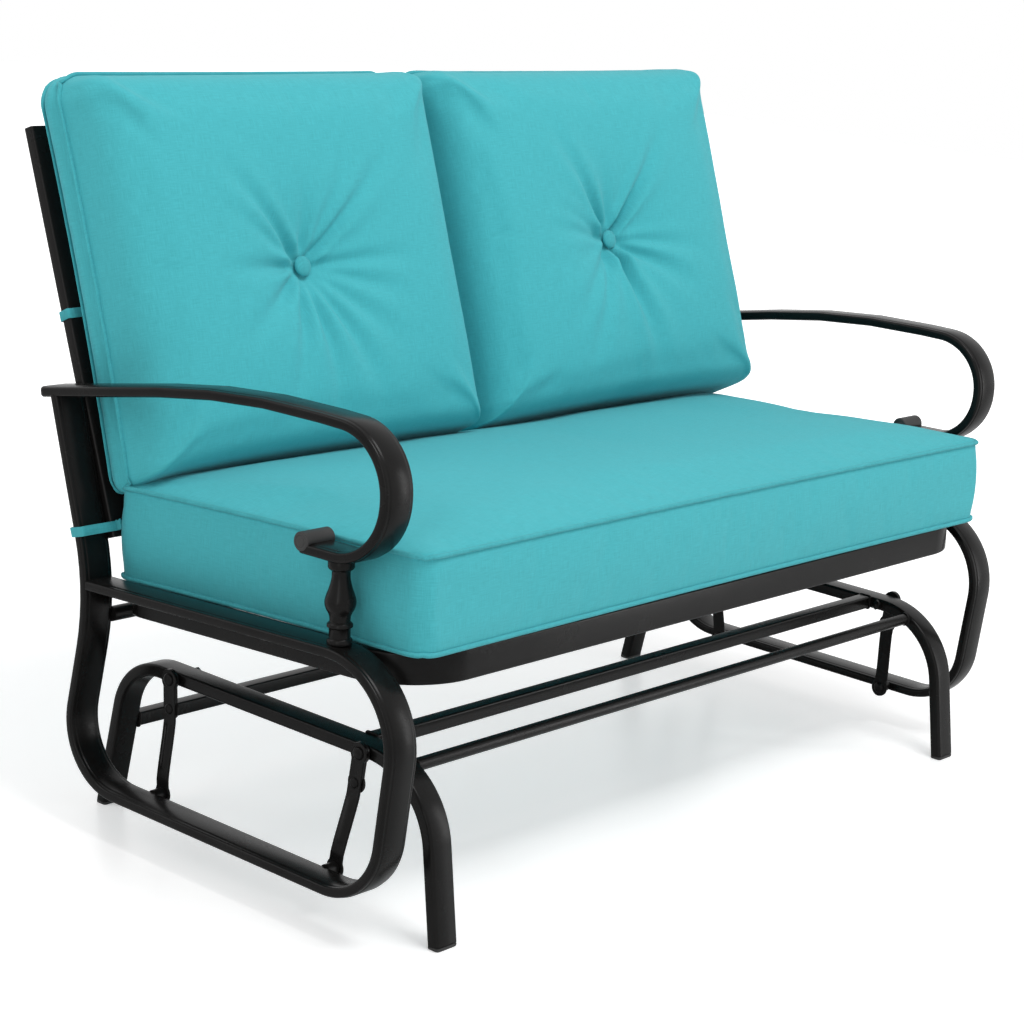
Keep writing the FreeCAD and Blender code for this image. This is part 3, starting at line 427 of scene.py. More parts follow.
def bumped(tree, height, strength, distance=0.0002):
    """A bump from a height."""
    values = {"Height": height, "Strength": strength, "Distance": distance}
    return node(tree, "ShaderNodeBump", values)["Normal"]


def reckoned(tree, operation, a, b):
    """The result of a sum of two values."""
    return node(tree, "ShaderNodeMath", {0: a, 1: b}, operation=operation)["Value"]


def cloudy(tree, where, scale, detail, **more):
    """A noise pattern; more values are inputs in lower case."""
    values = {"Vector": where, "Scale": scale, "Detail": detail}
    values.update({key.title(): value for key, value in more.items()})
    return node(tree, "ShaderNodeTexNoise", values)["Fac"]


def powder_coat(name, colour, roughness):
    """Satin powder coat: fine pebbled skin, faint cloudiness and lighter worn edges."""
    material, tree, shader, where = new_material(name, colour, roughness)
    cloud = cloudy(tree, where, 14.0, 4.0, roughness=0.6)
    tone = ramp(tree, cloud, shade(colour, 0.75), shade(colour, 1.35, 0.001))
    edge = node(tree, "ShaderNodeNewGeometry")["Pointiness"]
    rub = ramp(tree, edge, (0, 0, 0), (1, 1, 1), 0.54, 0.62)
    worn = {"Factor": rub, "A": tone, "B": (*shade(colour, 1.6, 0.003), 1)}
    sheen = {"Value": cloud, "To Min": roughness - 0.02, "To Max": roughness + 0.05}
    pebble = cloudy(tree, where, 900.0, 2.0)
    feed(tree, shader, {"Base Color": node(tree, "ShaderNodeMix", worn, data_type="RGBA")["Result"],
                        "Roughness": node(tree, "ShaderNodeMapRange", sheen)["Result"],
                        "Specular IOR Level": 0.13, "Normal": bumped(tree, pebble, 0.22)})
    return material


def moulded_plastic(name, colour):
    """Matte moulded plastic with a fine grain."""
    material, tree, shader, where = new_material(name, colour, 0.6)
    grain = node(tree, "ShaderNodeTexVoronoi", {"Vector": where, "Scale": 1400.0})["Distance"]
    tone = ramp(tree, grain, shade(colour, 0.8), shade(colour, 1.2), 0.0, 0.8)
    feed(tree, shader, {"Base Color": tone, "Normal": bumped(tree, grain, 0.15)})
    return material


def woven_cloth(name, colour, coordinates="UV"):
    """Plain-weave outdoor cloth: crossing threads, uneven slubs and a soft sheen."""
    material, tree, shader, where = new_material(name, colour, 0.85, coordinates)
    thread = {"Vector": where, "Scale": 430.0, "Distortion": 0.6, "Detail": 1.0,
              "Detail Scale": 3.0}
    threads, slubs = [], []
    for bands, scale in (("Y", (50, 1250, 1)), ("X", (1250, 50, 1))):
        wave = node(tree, "ShaderNodeTexWave", thread, wave_profile="SIN", bands_direction=bands)
        threads.append(wave["Fac"])
        stretch = node(tree, "ShaderNodeMapping", {"Vector": where, "Scale": scale})["Vector"]
        slubs.append(cloudy(tree, stretch, 1.0, 3.0, roughness=0.65))
    mottle = reckoned(tree, "MULTIPLY", reckoned(tree, "ADD", *slubs), 0.5)
    tone = ramp(tree, mottle, shade(colour, 0.86), shade(colour, 1.09, 0.006), 0.36, 0.64)
    height = reckoned(tree, "ADD", reckoned(tree, "MAXIMUM", *threads), mottle)
    feed(tree, shader, {"Base Color": tone, "Normal": bumped(tree, height, 0.22, 0.0003),
                        "Sheen Weight": 0.10, "Sheen Roughness": 0.5, "Specular IOR Level": 0.14})
    return material


def finish(name):
    """A finish of the bench by name, made once."""
    if name in bpy.data.materials:
        return bpy.data.materials[name]
    colours = bpy.context.scene.glider_colours
    if name == "frame_powder_coat":
        return powder_coat(name, tuple(colours.metal), 0.25)
    if name == "fastener_paint":
        return powder_coat(name, shade(colours.metal, 0.8), 0.3)
    if name == "black_plastic":
        return moulded_plastic(name, (0.022, 0.022, 0.022))
    # Painted shade: the piping, ties and buttons get the cushion cloth darkened to 0.88, which
    # stands in for the shade along the seams.
    if name == "piping_cloth_painted_darker":
        return woven_cloth(name, shade(colours.cloth, 0.88), "Object")
    return woven_cloth(name, tuple(colours.cloth))


def claim(obj, slot, body, node_name=None):
    """Puts a piece on the body that it rides on and hides the node that it replaces; the slot is
    not used.
    """
    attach(obj, body)
    if node_name:
        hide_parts(node_name)


def wear(obj, name, *claims):
    """Gives a piece its finish and makes its claims."""
    obj.data.materials.clear()
    obj.data.materials.append(finish(name))
    claim(obj, *claims)


def painted(name, path, section, across, body, node_name, cyclic=False):
    """A powder-coated tube along a path, as a piece of a body."""
    obj = tube(name, path, section, across, finish("frame_powder_coat"), cyclic)
    claim(obj, "frame_paint", body, node_name)


# ---- sizes and colours

Length = partial(FloatProperty, unit="LENGTH")
Colour = partial(FloatVectorProperty, subtype="COLOR", min=0, max=1)


class GliderMetal(bpy.types.PropertyGroup):
    """Sizes of the steel tube."""
    band_width: Length(name="Flat tube width", description="Width of the side frames and arms",
                       default=0.044, min=0.02, max=0.08)
    band_depth: Length(name="Flat tube depth", description="Thickness of the flat tube at its rims",
                       default=0.012, min=0.006, max=0.03)
    band_panel: Length(name="Panel width", description="Width of the raised middle panel",
                       default=0.030, min=0.01, max=0.04)
    band_raise: Length(name="Panel height", description="Height of the panel over the rims",
                       default=0.001, min=0.0, max=0.003)
    weld: Length(name="Weld bead", description="Radius of the weld beads",
                 default=0.0016, min=0.0, max=0.004)
    slats: IntProperty(name="Slats", description="Slats in the seat and in the back",
                       default=9, min=3, max=20)


class GliderCushions(bpy.types.PropertyGroup):
    """Sizes of the cushions."""
    crown: Length(name="Seat crown", description="Rise of the seat cushion's top over its seam",
                  default=0.020, min=0.0, max=0.04)
    back_crown: Length(name="Back crown", description="Rise of a back cushion's face over its seam",
                       default=0.110, min=0.0, max=0.14)
    piping: Length(name="Piping", description="Radius of the piping",
                   default=0.0030, min=0.001, max=0.006)
    tuft: Length(name="Tuft depth", description="Depth of the hollow under a button",
                 default=0.023, min=0.0, max=0.04)
    button: Length(name="Button", description="Radius of a covered button",
                   default=0.0132, min=0.004, max=0.02)
    cell: Length(name="Cloth cell", description="Size of the cloth's cells while it settles",
                 default=0.008, min=0.005, max=0.03)


class GliderColours(bpy.types.PropertyGroup):
    """Colours of the finishes."""
    metal: Colour(name="Powder coat", description="Colour of the frame",
                  default=(0.0050, 0.0047, 0.0045))
    cloth: Colour(name="Cloth", description="Colour of the cushions",
                  default=(0.068, 0.462, 0.515))
    floor: Colour(name="Floor", description="Colour of the floor", default=(0.86, 0.86, 0.86))


class PieceOperator:
    """What the piece operators share."""
    bl_options = {"REGISTER", "UNDO"}


# ---- steel pieces

def upright(points, x, middle=SEAT_Y):
    """Points given as (y, z) in millimetres from a middle, placed at an x in metres."""
    return [Vector((x, y * MM + middle, z * MM)) for y, z in points]


def bent_bands(metal, name, corners, radii, node_name):
    """A left and a right band of flat tube, bent through corners in the side frames' planes."""
    for side, way in SIDES.items():
        path = upright(bent_path(corners, radii), way * BAND_MIDDLE)
        painted(f"{name}_{side}", path, band_section(metal), RIGHT, "seat", f"{node_name}_{side}")


class GLIDER_OT_side_frames(PieceOperator, bpy.types.Operator):
    """Bend the two side frames from flat tube"""
    bl_idname = "glider.side_frames"
    bl_label = "Side frames"

    def execute(self, context):
        corners = [(324.9, 535), (245.5, 303.8), (285.4, 61), (-249, 61), (-270, 343),
                   (250, 313.02)]
        bent_bands(context.scene.glider_metal, "bent_side_frame", corners, [290, 83, 80, 102],
                   "side_frame")
        return {"FINISHED"}


class GLIDER_OT_arms(PieceOperator, bpy.types.Operator):
    """Bend the two arms with their curls and cap their ends"""
    bl_idname = "glider.arms"
    bl_label = "Arms"

    def execute(self, context):
        corners = [(344, 534.5), (11, 598), (-228, 594), (-228, 448), (-108, 444.8)]
        bent_bands(context.scene.glider_metal, "curled_arm", corners, [1300, 73, 73], "arm")
        caps = []
        for way in SIDES.values():
            caps += [self.rear_cap(way * BAND_MIDDLE / MM), self.curl_roll(way * BAND_MIDDLE / MM)]
        wear(joined("rounded_arm_caps", caps), "black_plastic", "plastic", "seat", "arm_end_caps")
        return {"FINISHED"}

    @staticmethod
    def rear_cap(x):
        """The thin cap on an arm's rear end, with a rounded rim."""
        out = Vector((0, 333, -63.5)).normalized()
        origin, across = seat_point(x, 344, 534.5), out.cross(RIGHT)
        section = rounded_section(0.0436, 0.0132, 0.0045)
        rim = ((0.0, 1.0), (0.0025, 1.0), (0.0040, 0.96), (0.0049, 0.86), (0.0052, 0.7))
        return lofted("arm_cap", [
            [origin + out * t + RIGHT * grow * a + across * grow * b for a, b in section]
            for t, grow in rim])

    @staticmethod
    def curl_roll(x):
        """The rolled end inside an arm's curl, with a round groove at both ends."""
        centre = seat_point(x, -109, 452.5)
        half = [(22.7, 3.0), (22.7, 5.6), (22.0, 6.8), (22.7, 8.2), (22.3, 10.2), (21.0, 11.4)]
        profile = [(-along, radius) for along, radius in half] + half[::-1]
        return lofted("arm_roll", [
            [centre + Vector((along * MM, a * MM, b * MM)) for a, b in round_section(radius, 36)]
            for along, radius in profile])


class GLIDER_OT_balusters(PieceOperator, bpy.types.Operator):
    """Turn the two balusters under the arms' curls"""
    bl_idname = "glider.balusters"
    bl_label = "Balusters"

    def execute(self, context):
        knots = [(0, 0), (14.2, 0), (14.6, 1.2), (14.6, 5.2), (13.4, 6.8), (12.2, 7.6),
                 (12.2, 17.6), (13.2, 18.8), (14.8, 20), (14.8, 23), (13.4, 24.6), (11.8, 26)]
        body = smooth_outline([(11.8, 26), (12.6, 33), (16.6, 41), (18.0, 47.5), (16.9, 54),
                               (13.4, 64), (10.9, 74), (10.6, 80)], 6)
        crown = [(10.6, 83), (12.2, 84.4), (14.4, 86), (15.2, 88), (15.2, 94), (14.4, 95.6),
                 (0, 95.6)]
        y, over_bar = -158, 7.01
        for side, way in SIDES.items():
            obj = turned(f"turned_baluster_{side}", millimetres(knots + body[1:] + crown), 48)
            foot = seat_point(way * BAND_MIDDLE / MM, y, bar_height(y) + over_bar)
            obj.data.transform(Matrix.Translation(foot) @ tilt(-SEAT_SLOPE))
            finish_mesh(obj, 50)
            wear(obj, "frame_powder_coat", "frame_paint", "seat", f"baluster_{side}")
        return {"FINISHED"}


class GLIDER_OT_base(PieceOperator, bpy.types.Operator):
    """Bend the base's end frames and run the stretchers and their welds"""
    bl_idname = "glider.base"
    bl_label = "Base"

    def execute(self, context):
        metal = context.scene.glider_metal
        corners = [(288, 4), (254, 202), (-254, 202), (-288, 4)]
        for side, way in SIDES.items():
            path = upright(bent_path(corners, [74, 105]), way * BASE_MIDDLE, BASE_Y)
            painted(f"arched_end_frame_{side}", path, rounded_section(0.035, 0.0165, 0.0038), RIGHT,
                    "base", f"base_end_frame_{side}")
        square = rounded_section(0.018, 0.018, 0.0028)
        runs = {"upper": (-140, 202, square), "lower": (-209.4, 192.0, round_section(0.008)),
                "rear": (269.1, 114, square)}
        reach, beads = BASE_INNER / MM, []
        for name, (y, z, section) in runs.items():
            ends = [base_point(-reach, y, z), base_point(reach, y, z)]
            painted(f"{name}_stretcher_tube", ends, section, BACK, "base", f"base_{name}_stretcher")
            for way in SIDES.values():
                loop = [base_point(way * (reach - 0.6), y, z) + Vector((0, a * 1.04, b * 1.04))
                        for a, b in section]
                beads.append(weld_bead(f"stretcher_weld_{name}", loop, metal.weld))
        claim(joined("base_welds", beads), "frame_paint", "base")
        feet = [self.foot(base_point(way * BASE_MIDDLE / MM, end * 288, 0))
                for way in SIDES.values() for end in ENDS.values()]
        wear(joined("leg_plugs", feet), "black_plastic", "plastic", "base", "foot_plugs")
        return {"FINISHED"}

    @staticmethod
    def foot(centre):
        """A plug in a leg's end, with rounded rims."""
        section = rounded_section(0.035, 0.0168, 0.004)
        rim = ((0.0, 0.9), (0.0006, 0.97), (0.0016, 1.0), (0.0036, 1.0), (0.0042, 0.98))
        return lofted("foot", [[centre + Vector((a * grow, b * grow, z)) for a, b in section]
                               for z, grow in rim])


def weld_bead(name, loop, radius):
    """A weld bead round a closed loop of points."""
    count = max(24, len(loop) * 2)
    lengths = run_lengths(loop + loop[:1])
    points = []
    for k in range(count):
        want = lengths[-1] * k / count
        i = max(j for j in range(len(loop)) if lengths[j] <= want + 1e-9)
        a, b = loop[i], loop[(i + 1) % len(loop)]
        share = (want - lengths[i]) / max(lengths[i + 1] - lengths[i], 1e-9)
        points.append(a.lerp(b, min(share, 1)))
    return tube(name, points, round_section(radius, 10), RIGHT, finish("frame_powder_coat"), True)


class GLIDER_OT_links(PieceOperator, bpy.types.Operator):
    """Press the four swing links with their eyes and embossed ribs"""
    bl_idname = "glider.links"
    bl_label = "Swing links"

    def execute(self, context):
        for end in ENDS:
            for side in SIDES:
                obj = strap(f"pressed_link_{end}_{side}", LINK_LENGTH)
                obj.data.transform(link_place(end, side))
                finish_mesh(obj, 40)
                wear(obj, "frame_powder_coat", "frame_paint", f"{end}_links", f"link_{end}_{side}")
        return {"FINISHED"}


def strap(name, length):
    """A flat strap with round eyes, joggled outwards near its foot, its rims rounded."""
    eye, half, depth, jog = 0.013, 0.010, 0.0032, 0.013
    steps = 96
    low, high = -eye, length + eye
    rows = []
    for k in range(steps + 1):
        z = low + (high - low) * (0.5 - 0.5 * math.cos(math.pi * k / steps))
        reach = min(abs(z), abs(z - length))
        disc = math.sqrt(max(eye ** 2 - reach ** 2, 0.0))
        body = half if 0 < z < length else 0.0
        wide = max(body, disc, 0.0006)
        drop = min(max((0.090 - z) / 0.072, 0.0), 1.0)
        shift = jog * (0.75 * drop + 0.25 * drop * drop * (3 - 2 * drop))
        rib = 0.0009 * max(0.0, min(1.0, (z - 0.030) / 0.006, (0.088 - z) / 0.006)) / depth
        rows.append([Vector((shift + b * depth, a * wide, z)) for a, b in (
            (1, 0.25), (0.94, 0.0), (-0.94, 0.0), (-1, 0.25), (-1, 0.75), (-0.94, 1.0), (-0.5, 1.0),
            (-0.38, 1.0 + rib), (0.38, 1.0 + rib), (0.5, 1.0), (0.94, 1.0), (1, 0.75))])
    return lofted(name, rows)


class GLIDER_OT_fasteners(PieceOperator, bpy.types.Operator):
    """Set bolt heads, nuts, rivets and pins"""
    bl_idname = "glider.fasteners"
    bl_label = "Fasteners"

    def execute(self, context):
        dome = [(8.0, -1), (8.0, 0.5), (7.8, 1.1), (7.0, 2.0), (5.6, 2.8), (3.6, 3.4), (1.6, 3.7),
                (0, 3.75)]
        nut = [(0, 0), (7.4, 0), (7.5, 0.5), (7.5, 4.6), (6.4, 5.2), (5.6, 6.6), (3.6, 8.4),
               (0, 9.2)]
        rivet = [(0, -3.9), (5.2, -3.9), (5.6, -3.4), (5.6, -2.5), (3, -2.5), (3, 3.2), (6.6, 3.2),
                 (6.5, 3.9), (5.6, 4.9), (4.0, 5.5), (0, 5.8)]
        head = [(0, -0.5), (6.4, -0.5), (6.5, 0.8), (5.4, 2.2), (3.0, 3.0), (0, 3.2)]
        upper, lower = (UPPER_PIVOT_Y, BAR_Z), (LOWER_PIVOT_Y, RAIL_Z)
        for name, outline, sides, x, (y, z), facing, body, node_name in (
                ("domed_pivot_bolts", [(0, -44), (4, -44), (4, -0.9)] + dome, 28, 0.56325, upper, 1,
                 "base", "upper_pivot_bolts"),
                ("cap_nuts", nut, 6, BASE_INNER, upper, -1, "base", "upper_pivot_nuts"),
                ("domed_pivot_pins", [(0, -32), (4, -32), (4, -0.9)] + dome, 28, 0.57295, lower, -1,
                 "seat", "lower_pivot_pins")):
            spots = [(Vector((way * x, end * y + BASE_Y, z)), RIGHT * way * facing)
                     for way in SIDES.values() for end in ENDS.values()]
            self.put(name, outline, sides, spots, body, node_name)
        rivet_height = LINK_LENGTH - 0.037
        for end in ENDS:
            places = [link_place(end, side) for side in SIDES]
            spots = [(place @ (UP * rivet_height), place.to_3x3() @ RIGHT) for place in places]
            self.put(f"domed_rivets_{end}", rivet, 24, spots, f"{end}_links", f"link_{end}_rivets")
        points = [back_place() @ Vector((0, 0.0015, along)) for along in (0.070, 0.130)]
        spots = [(Vector((way * 0.556, point.y, point.z)), RIGHT * -way)
                 for point in points for way in SIDES.values()]
        self.put("back_frame_bolts", head, 24, spots, "seat", "back_bolts")
        return {"FINISHED"}

    @staticmethod
    def put(name, outline, sides, spots, body, node_name):
        """Turns a fastener from steps in millimetres and puts it on its spots."""
        piece = turned(f"{name}_piece", millimetres(outline), sides)
        obj = scattered(name, piece, spots, finish("fastener_paint"))
        claim(obj, "hardware", body, node_name)


def deck(name, count, length, turn, place, span, start, node_name):
    """Flat slats side by side across a span, each turned from flat on XY and long in Y."""
    width, depth = 0.025, 0.003
    rows = []
    for y, grow in ((0, 0.96), (0.002, 1.0), (length - 0.002, 1.0), (length, 0.96)):
        rows.append([Vector((a * grow, y, b + depth / 2))
                     for a, b in rounded_section(width, depth, depth * 0.35, 2)])
    slat = lofted("slat", rows)
    slat.data.transform(place.to_3x3().to_4x4() @ turn)
    spots = [(place @ Vector((span * ((i + 0.5) / count - 0.5), *start)), UP) for i in range(count)]
    obj = scattered(name, slat, spots, finish("frame_powder_coat"))
    claim(obj, "frame_paint", "seat", node_name)


class GLIDER_OT_seat_frame(PieceOperator, bpy.types.Operator):
    """Bend the ring under the seat and lay its slats"""
    bl_idname = "glider.seat_frame"
    bl_label = "Seat frame"

    def execute(self, context):
        place = seat_place()
        x = INNER_FACE - 0.010
        corners = [(-x, -0.240, 0), (x, -0.240, 0), (x, 0.226, 0), (-x, 0.226, 0)]
        ring = [place @ p for p in closed_path(corners, [0.085, 0.085, 0.025, 0.025])]
        painted("seat_ring", ring, rounded_section(0.038, 0.020, 0.0032), place.to_3x3() @ UP,
                "seat", "seat_frame", True)
        deck("seat_deck_slats", context.scene.glider_metal.slats, 0.476, Matrix(), place,
             2 * INNER_FACE - 0.060, (-0.245, 0.019), "seat_slats")
        tubes = {"front": (0.5575, place @ Vector((0, -0.188, -0.0095))),
                 "rear": (INNER_FACE, seat_point(0, 250.5, 270.8))}
        for name, (reach, middle) in tubes.items():
            painted(f"cross_tube_{name}", [middle - RIGHT * reach, middle + RIGHT * reach],
                    round_section(0.0095, 28), BACK, "seat", f"seat_cross_tube_{name}")
        return {"FINISHED"}


class GLIDER_OT_back_frame(PieceOperator, bpy.types.Operator):
    """Set the back posts, their rails and the slats behind the cushions"""
    bl_idname = "glider.back_frame"
    bl_label = "Back frame"

    def execute(self, context):
        place = back_place()
        for side, way in SIDES.items():
            x = way * (INNER_FACE - 0.0175)
            painted(f"leaning_post_{side}", [place @ Vector((x, 0, z)) for z in (0, 0.510)],
                    rounded_section(0.035, 0.0155, 0.003), RIGHT, "seat", f"back_post_{side}")
        reach = INNER_FACE - 0.035
        for name, along in (("top", 0.4975), ("lower", 0.045)):
            painted(f"back_{name}_bar", [place @ Vector((x, 0, along)) for x in (-reach, reach)],
                    rounded_section(0.025, 0.0155, 0.003), place.to_3x3() @ UP, "seat",
                    f"back_{name}_rail")
        deck("back_deck_slats", context.scene.glider_metal.slats, 0.4715, tilt(math.pi / 2), place,
             2 * reach, (-0.00775, 0.0355), "back_slats")
        return {"FINISHED"}


# ---- cushions

def share_of(distance, reach):
    """How far a distance gets along a reach, from 0 to 1."""
    return min(max(distance / reach, 0.0), 1.0)


def soft_rise(distance, reach, power=2.3):
    """Rise of a crowned face, from 0 at its seam to 1, over a reach."""
    return 1 - (1 - share_of(distance, reach)) ** power


def steep_rise(distance, reach, power=2.6):
    """Rise of a well-filled edge: upright at its seam, then round."""
    return (1 - (1 - share_of(distance, reach)) ** power) ** (1 / power)


class Pad:
    """A boxed cushion as one closed grid: a crowned face, boxing and an underside.

    Its low seam lies on XY. Plump is the share of the crown that stands up steeply from the
    seam over the edge's reach, corners are the radii at the near and the far end, and swell is how
    much fuller the +X side is. It keeps the rows of vertices along both seams, for the piping.
    """

    DRAWN_IN = 0.006
    FAR_DRAWN_IN = 0.001
    CROWN_REACH = 0.20
    EDGE_BULGE = 0.11
    BOXING_BULGE = 0.0045
    CROWDING = 0.45

    def __init__(self, size, boxing, crown, belly, cell, plump, edge, corners=(0.026, 0.026),
                 swell=0.0):
        self.width, self.depth = size
        self.boxing = boxing
        self.plump, self.edge, self.corners, self.swell = plump, edge, corners, swell
        self.nx = max(8, round(self.width / cell))
        self.ny = max(8, round(self.depth / cell))
        self.nz = max(4, round(boxing / cell * 1.4))
        self.verts, self.faces, self.uvs = [], [], []
        self.top = self.panel(boxing, crown)
        self.low = self.panel(0.0, -belly)
        self.seams()

    def outline(self, u, v):
        """A grid place, -1 to 1 each way, in the plan with its round corners and drawn-in sides."""
        w, d, r = self.width / 2, self.depth / 2, self.corners[0 if v < 0 else 1]
        x, y = u * w, v * d
        a, b = (abs(x) - (w - r)) / r, (abs(y) - (d - r)) / r
        if a > 0 and b > 0:
            x = math.copysign(w - r + r * a * math.sqrt(1 - b * b / 2), x)
            y = math.copysign(d - r + r * b * math.sqrt(1 - a * a / 2), y)
        x -= self.DRAWN_IN * u * abs(u) * (1 - v * v)
        y -= (self.DRAWN_IN if v < 0 else self.FAR_DRAWN_IN) * v * abs(v) * (1 - u * u)
        return x, y

    def outward(self, x, y):
        """Direction away from the cushion's middle near its rim, and nothing far from it."""
        a = max(abs(x) - self.width / 2 + self.edge, 0)
        b = max(abs(y) - self.depth / 2 + self.edge, 0)
        out = Vector((math.copysign(a, x), math.copysign(b, y), 0))
        return out.normalized() if out.length > 1e-6 else out

    def panel(self, level, rise):
        """Vertices of a face, as a table of their indices."""
        table = []
        filled = self.plump if rise > 0 else 0.0
        for j in range(self.ny + 1):
            row = []
            for i in range(self.nx + 1):
                u, v = self.spaced(i, self.nx), self.spaced(j, self.ny)
                x, y = self.outline(u, v)
                inset_x = self.width / 2 * (1 - abs(u))
                inset_y = self.depth / 2 * (1 - abs(v))
                sides = sorted((steep_rise(inset_x, self.edge), steep_rise(inset_y, self.edge)))
                steep = sides[0] * sides[1] ** 0.4
                broad = soft_rise(inset_x, self.CROWN_REACH) * soft_rise(inset_y, self.CROWN_REACH)
                fuller = 1 + self.swell * x / (self.width / 2)
                lift = (filled * steep + (1 - filled) * broad) * fuller
                bulge = self.EDGE_BULGE * filled * rise * math.sqrt(steep) * (1 - steep) ** 1.2
                place = Vector((x, y, level + rise * lift)) + self.outward(x, y) * bulge
                row.append(len(self.verts))
                self.verts.append(place)
            table.append(row)
        across, along = self.measured(table), self.measured(list(zip(*table)))
        for j in range(self.ny):
            for i in range(self.nx):
                face = [table[j][i], table[j][i + 1], table[j + 1][i + 1], table[j + 1][i]]
                self.faces.append(face if rise > 0 else face[::-1])
                self.uvs.append([(across[k], along[k]) for k in self.faces[-1]])
        return table

    def measured(self, lines):
        """How far along its line of cloth each vertex lies, from the line's middle."""
        lengths = {}
        for line in lines:
            run = run_lengths([self.verts[k] for k in line])
            lengths.update({k: length - run[len(run) // 2] for k, length in zip(line, run)})
        return lengths

    @staticmethod
    def spaced(i, count):
        """Places from -1 to 1, closer together at the middle and towards the rims."""
        even = 2 * i / count - 1
        return even - Pad.CROWDING * math.sin(2 * math.pi * even) / (2 * math.pi)

    @staticmethod
    def rim(table):
        """The indices round a face's edge, counter-clockwise from its front left corner."""
        front = table[0][:-1]
        right = [row[-1] for row in table[:-1]]
        rear = table[-1][:0:-1]
        left = [row[0] for row in reversed(table[1:])]
        return front + right + rear + left

    def seams(self):
        """The boxing between the two rims, with a soft bulge."""
        high, low = self.rim(self.top), self.rim(self.low)
        count = len(low)
        rings = [low]
        for k in range(1, self.nz):
            share = k / self.nz
            ring = []
            for a, b in zip(low, high):
                point = self.verts[a].lerp(self.verts[b], share)
                bulge = self.BOXING_BULGE * math.sin(math.pi * share)
                ring.append(len(self.verts))
                self.verts.append(point + self.outward(point.x, point.y) * bulge)
            rings.append(ring)
        rings.append(high)
        length = run_lengths([self.verts[k] for k in low + low[:1]])
        for k in range(self.nz):
            for i in range(count):
                j = (i + 1) % count
                self.faces.append([rings[k][i], rings[k][j], rings[k + 1][j], rings[k + 1][i]])
                z0, z1 = self.boxing * k / self.nz, self.boxing * (k + 1) / self.nz
                near, far = length[i], length[i + 1]
                self.uvs.append([(near, z0), (far, z0), (far, z1), (near, z1)])
        self.low_rim, self.high_rim = low, high

    def mesh(self, name):
        """The mesh, with panel coordinates in metres."""
        mesh = new_mesh(name, self.verts, self.faces)
        layer = mesh.uv_layers.new(name="panel")
        for spot, uv in zip(layer.data, (uv for corners in self.uvs for uv in corners)):
            spot.uv = uv
        return mesh


def settle(obj, pad, limit, spare):
    """Lets air pressure fill the cover for a moment, and caps how far any point moves.

    Spare is the share by which the cloth is larger than the form that it starts from.
    """
    frames, room_x, room_y = 20, 0.0035, 0.002
    scene = bpy.context.scene
    start = [v.co.copy() for v in obj.data.vertices]
    held = obj.vertex_groups.new(name="held")
    held.add([index for row in pad.low for index in row] + pad.high_rim, 1.0, "REPLACE")
    cloth = obj.modifiers.new("fill", "CLOTH")
    settings = {"quality": 5, "mass": 0.3, "tension_stiffness": 18, "compression_stiffness": 10,
                "bending_stiffness": 0.4, "use_pressure": True, "uniform_pressure_force": 4,
                "shrink_min": -spare, "vertex_group_mass": "held", "pin_stiffness": 1.0}
    for key, value in settings.items():
        setattr(cloth.settings, key, value)
    cloth.settings.effector_weights.gravity = 0
    cloth.collision_settings.use_self_collision = False
    cloth.point_cache.frame_start = 1
    cloth.point_cache.frame_end = frames
    for step in range(1, frames + 1):
        scene.frame_set(step)
    graph = bpy.context.evaluated_depsgraph_get()
    moved = [v.co.copy() for v in obj.evaluated_get(graph).data.vertices]
    obj.modifiers.remove(cloth)
    obj.vertex_groups.clear()
    scene.frame_set(1)
    wide, deep = pad.width / 2 + room_x, pad.depth / 2 + room_y
    for vert, a, b in zip(obj.data.vertices, start, moved):
        step = b - a
        if step.length > limit:
            step = step.normalized() * limit
        end = a + step
        vert.co = (max(-wide, min(wide, end.x)), max(-deep, min(deep, end.y)), end.z)


def refined(obj):
    """One smooth subdivision, applied. The first vertices stay the ones it started from."""
    surface = obj.modifiers.new("soften", "SUBSURF")
    surface.levels = surface.render_levels = 1
    mesh = evaluated(obj)
    obj.modifiers.remove(surface)
    obj.data = mesh


def crease(radius, angle, direction, strength, reach, width):
    """Depth of one radial fold at a place given by its radius and angle from the button."""
    off = (angle - direction + 180) % 360 - 180
    if abs(off) > 80:
        return 0.0
    across = radius * math.sin(math.radians(off))
    along = radius * math.cos(math.radians(off))
    swell = 1.3 * min(along / 0.030, 1.0) ** 1.5 * max(0.0, 1 - along / (1.15 * reach)) ** 1.1
    thin = width * (0.75 + 1.8 * along / reach)
    groove = math.exp(-(across / thin) ** 2)
    ridge = math.exp(-((abs(across) - 1.9 * thin) / (1.2 * thin)) ** 2)
    return strength * swell * (groove - 0.5 * ridge)


def uneven(point, scale, seed):
    """Smooth noise over the plan of a cushion, whose size is the inverse of a scale."""
    return noise.noise(Vector((point.x * scale, point.y * scale, seed)))


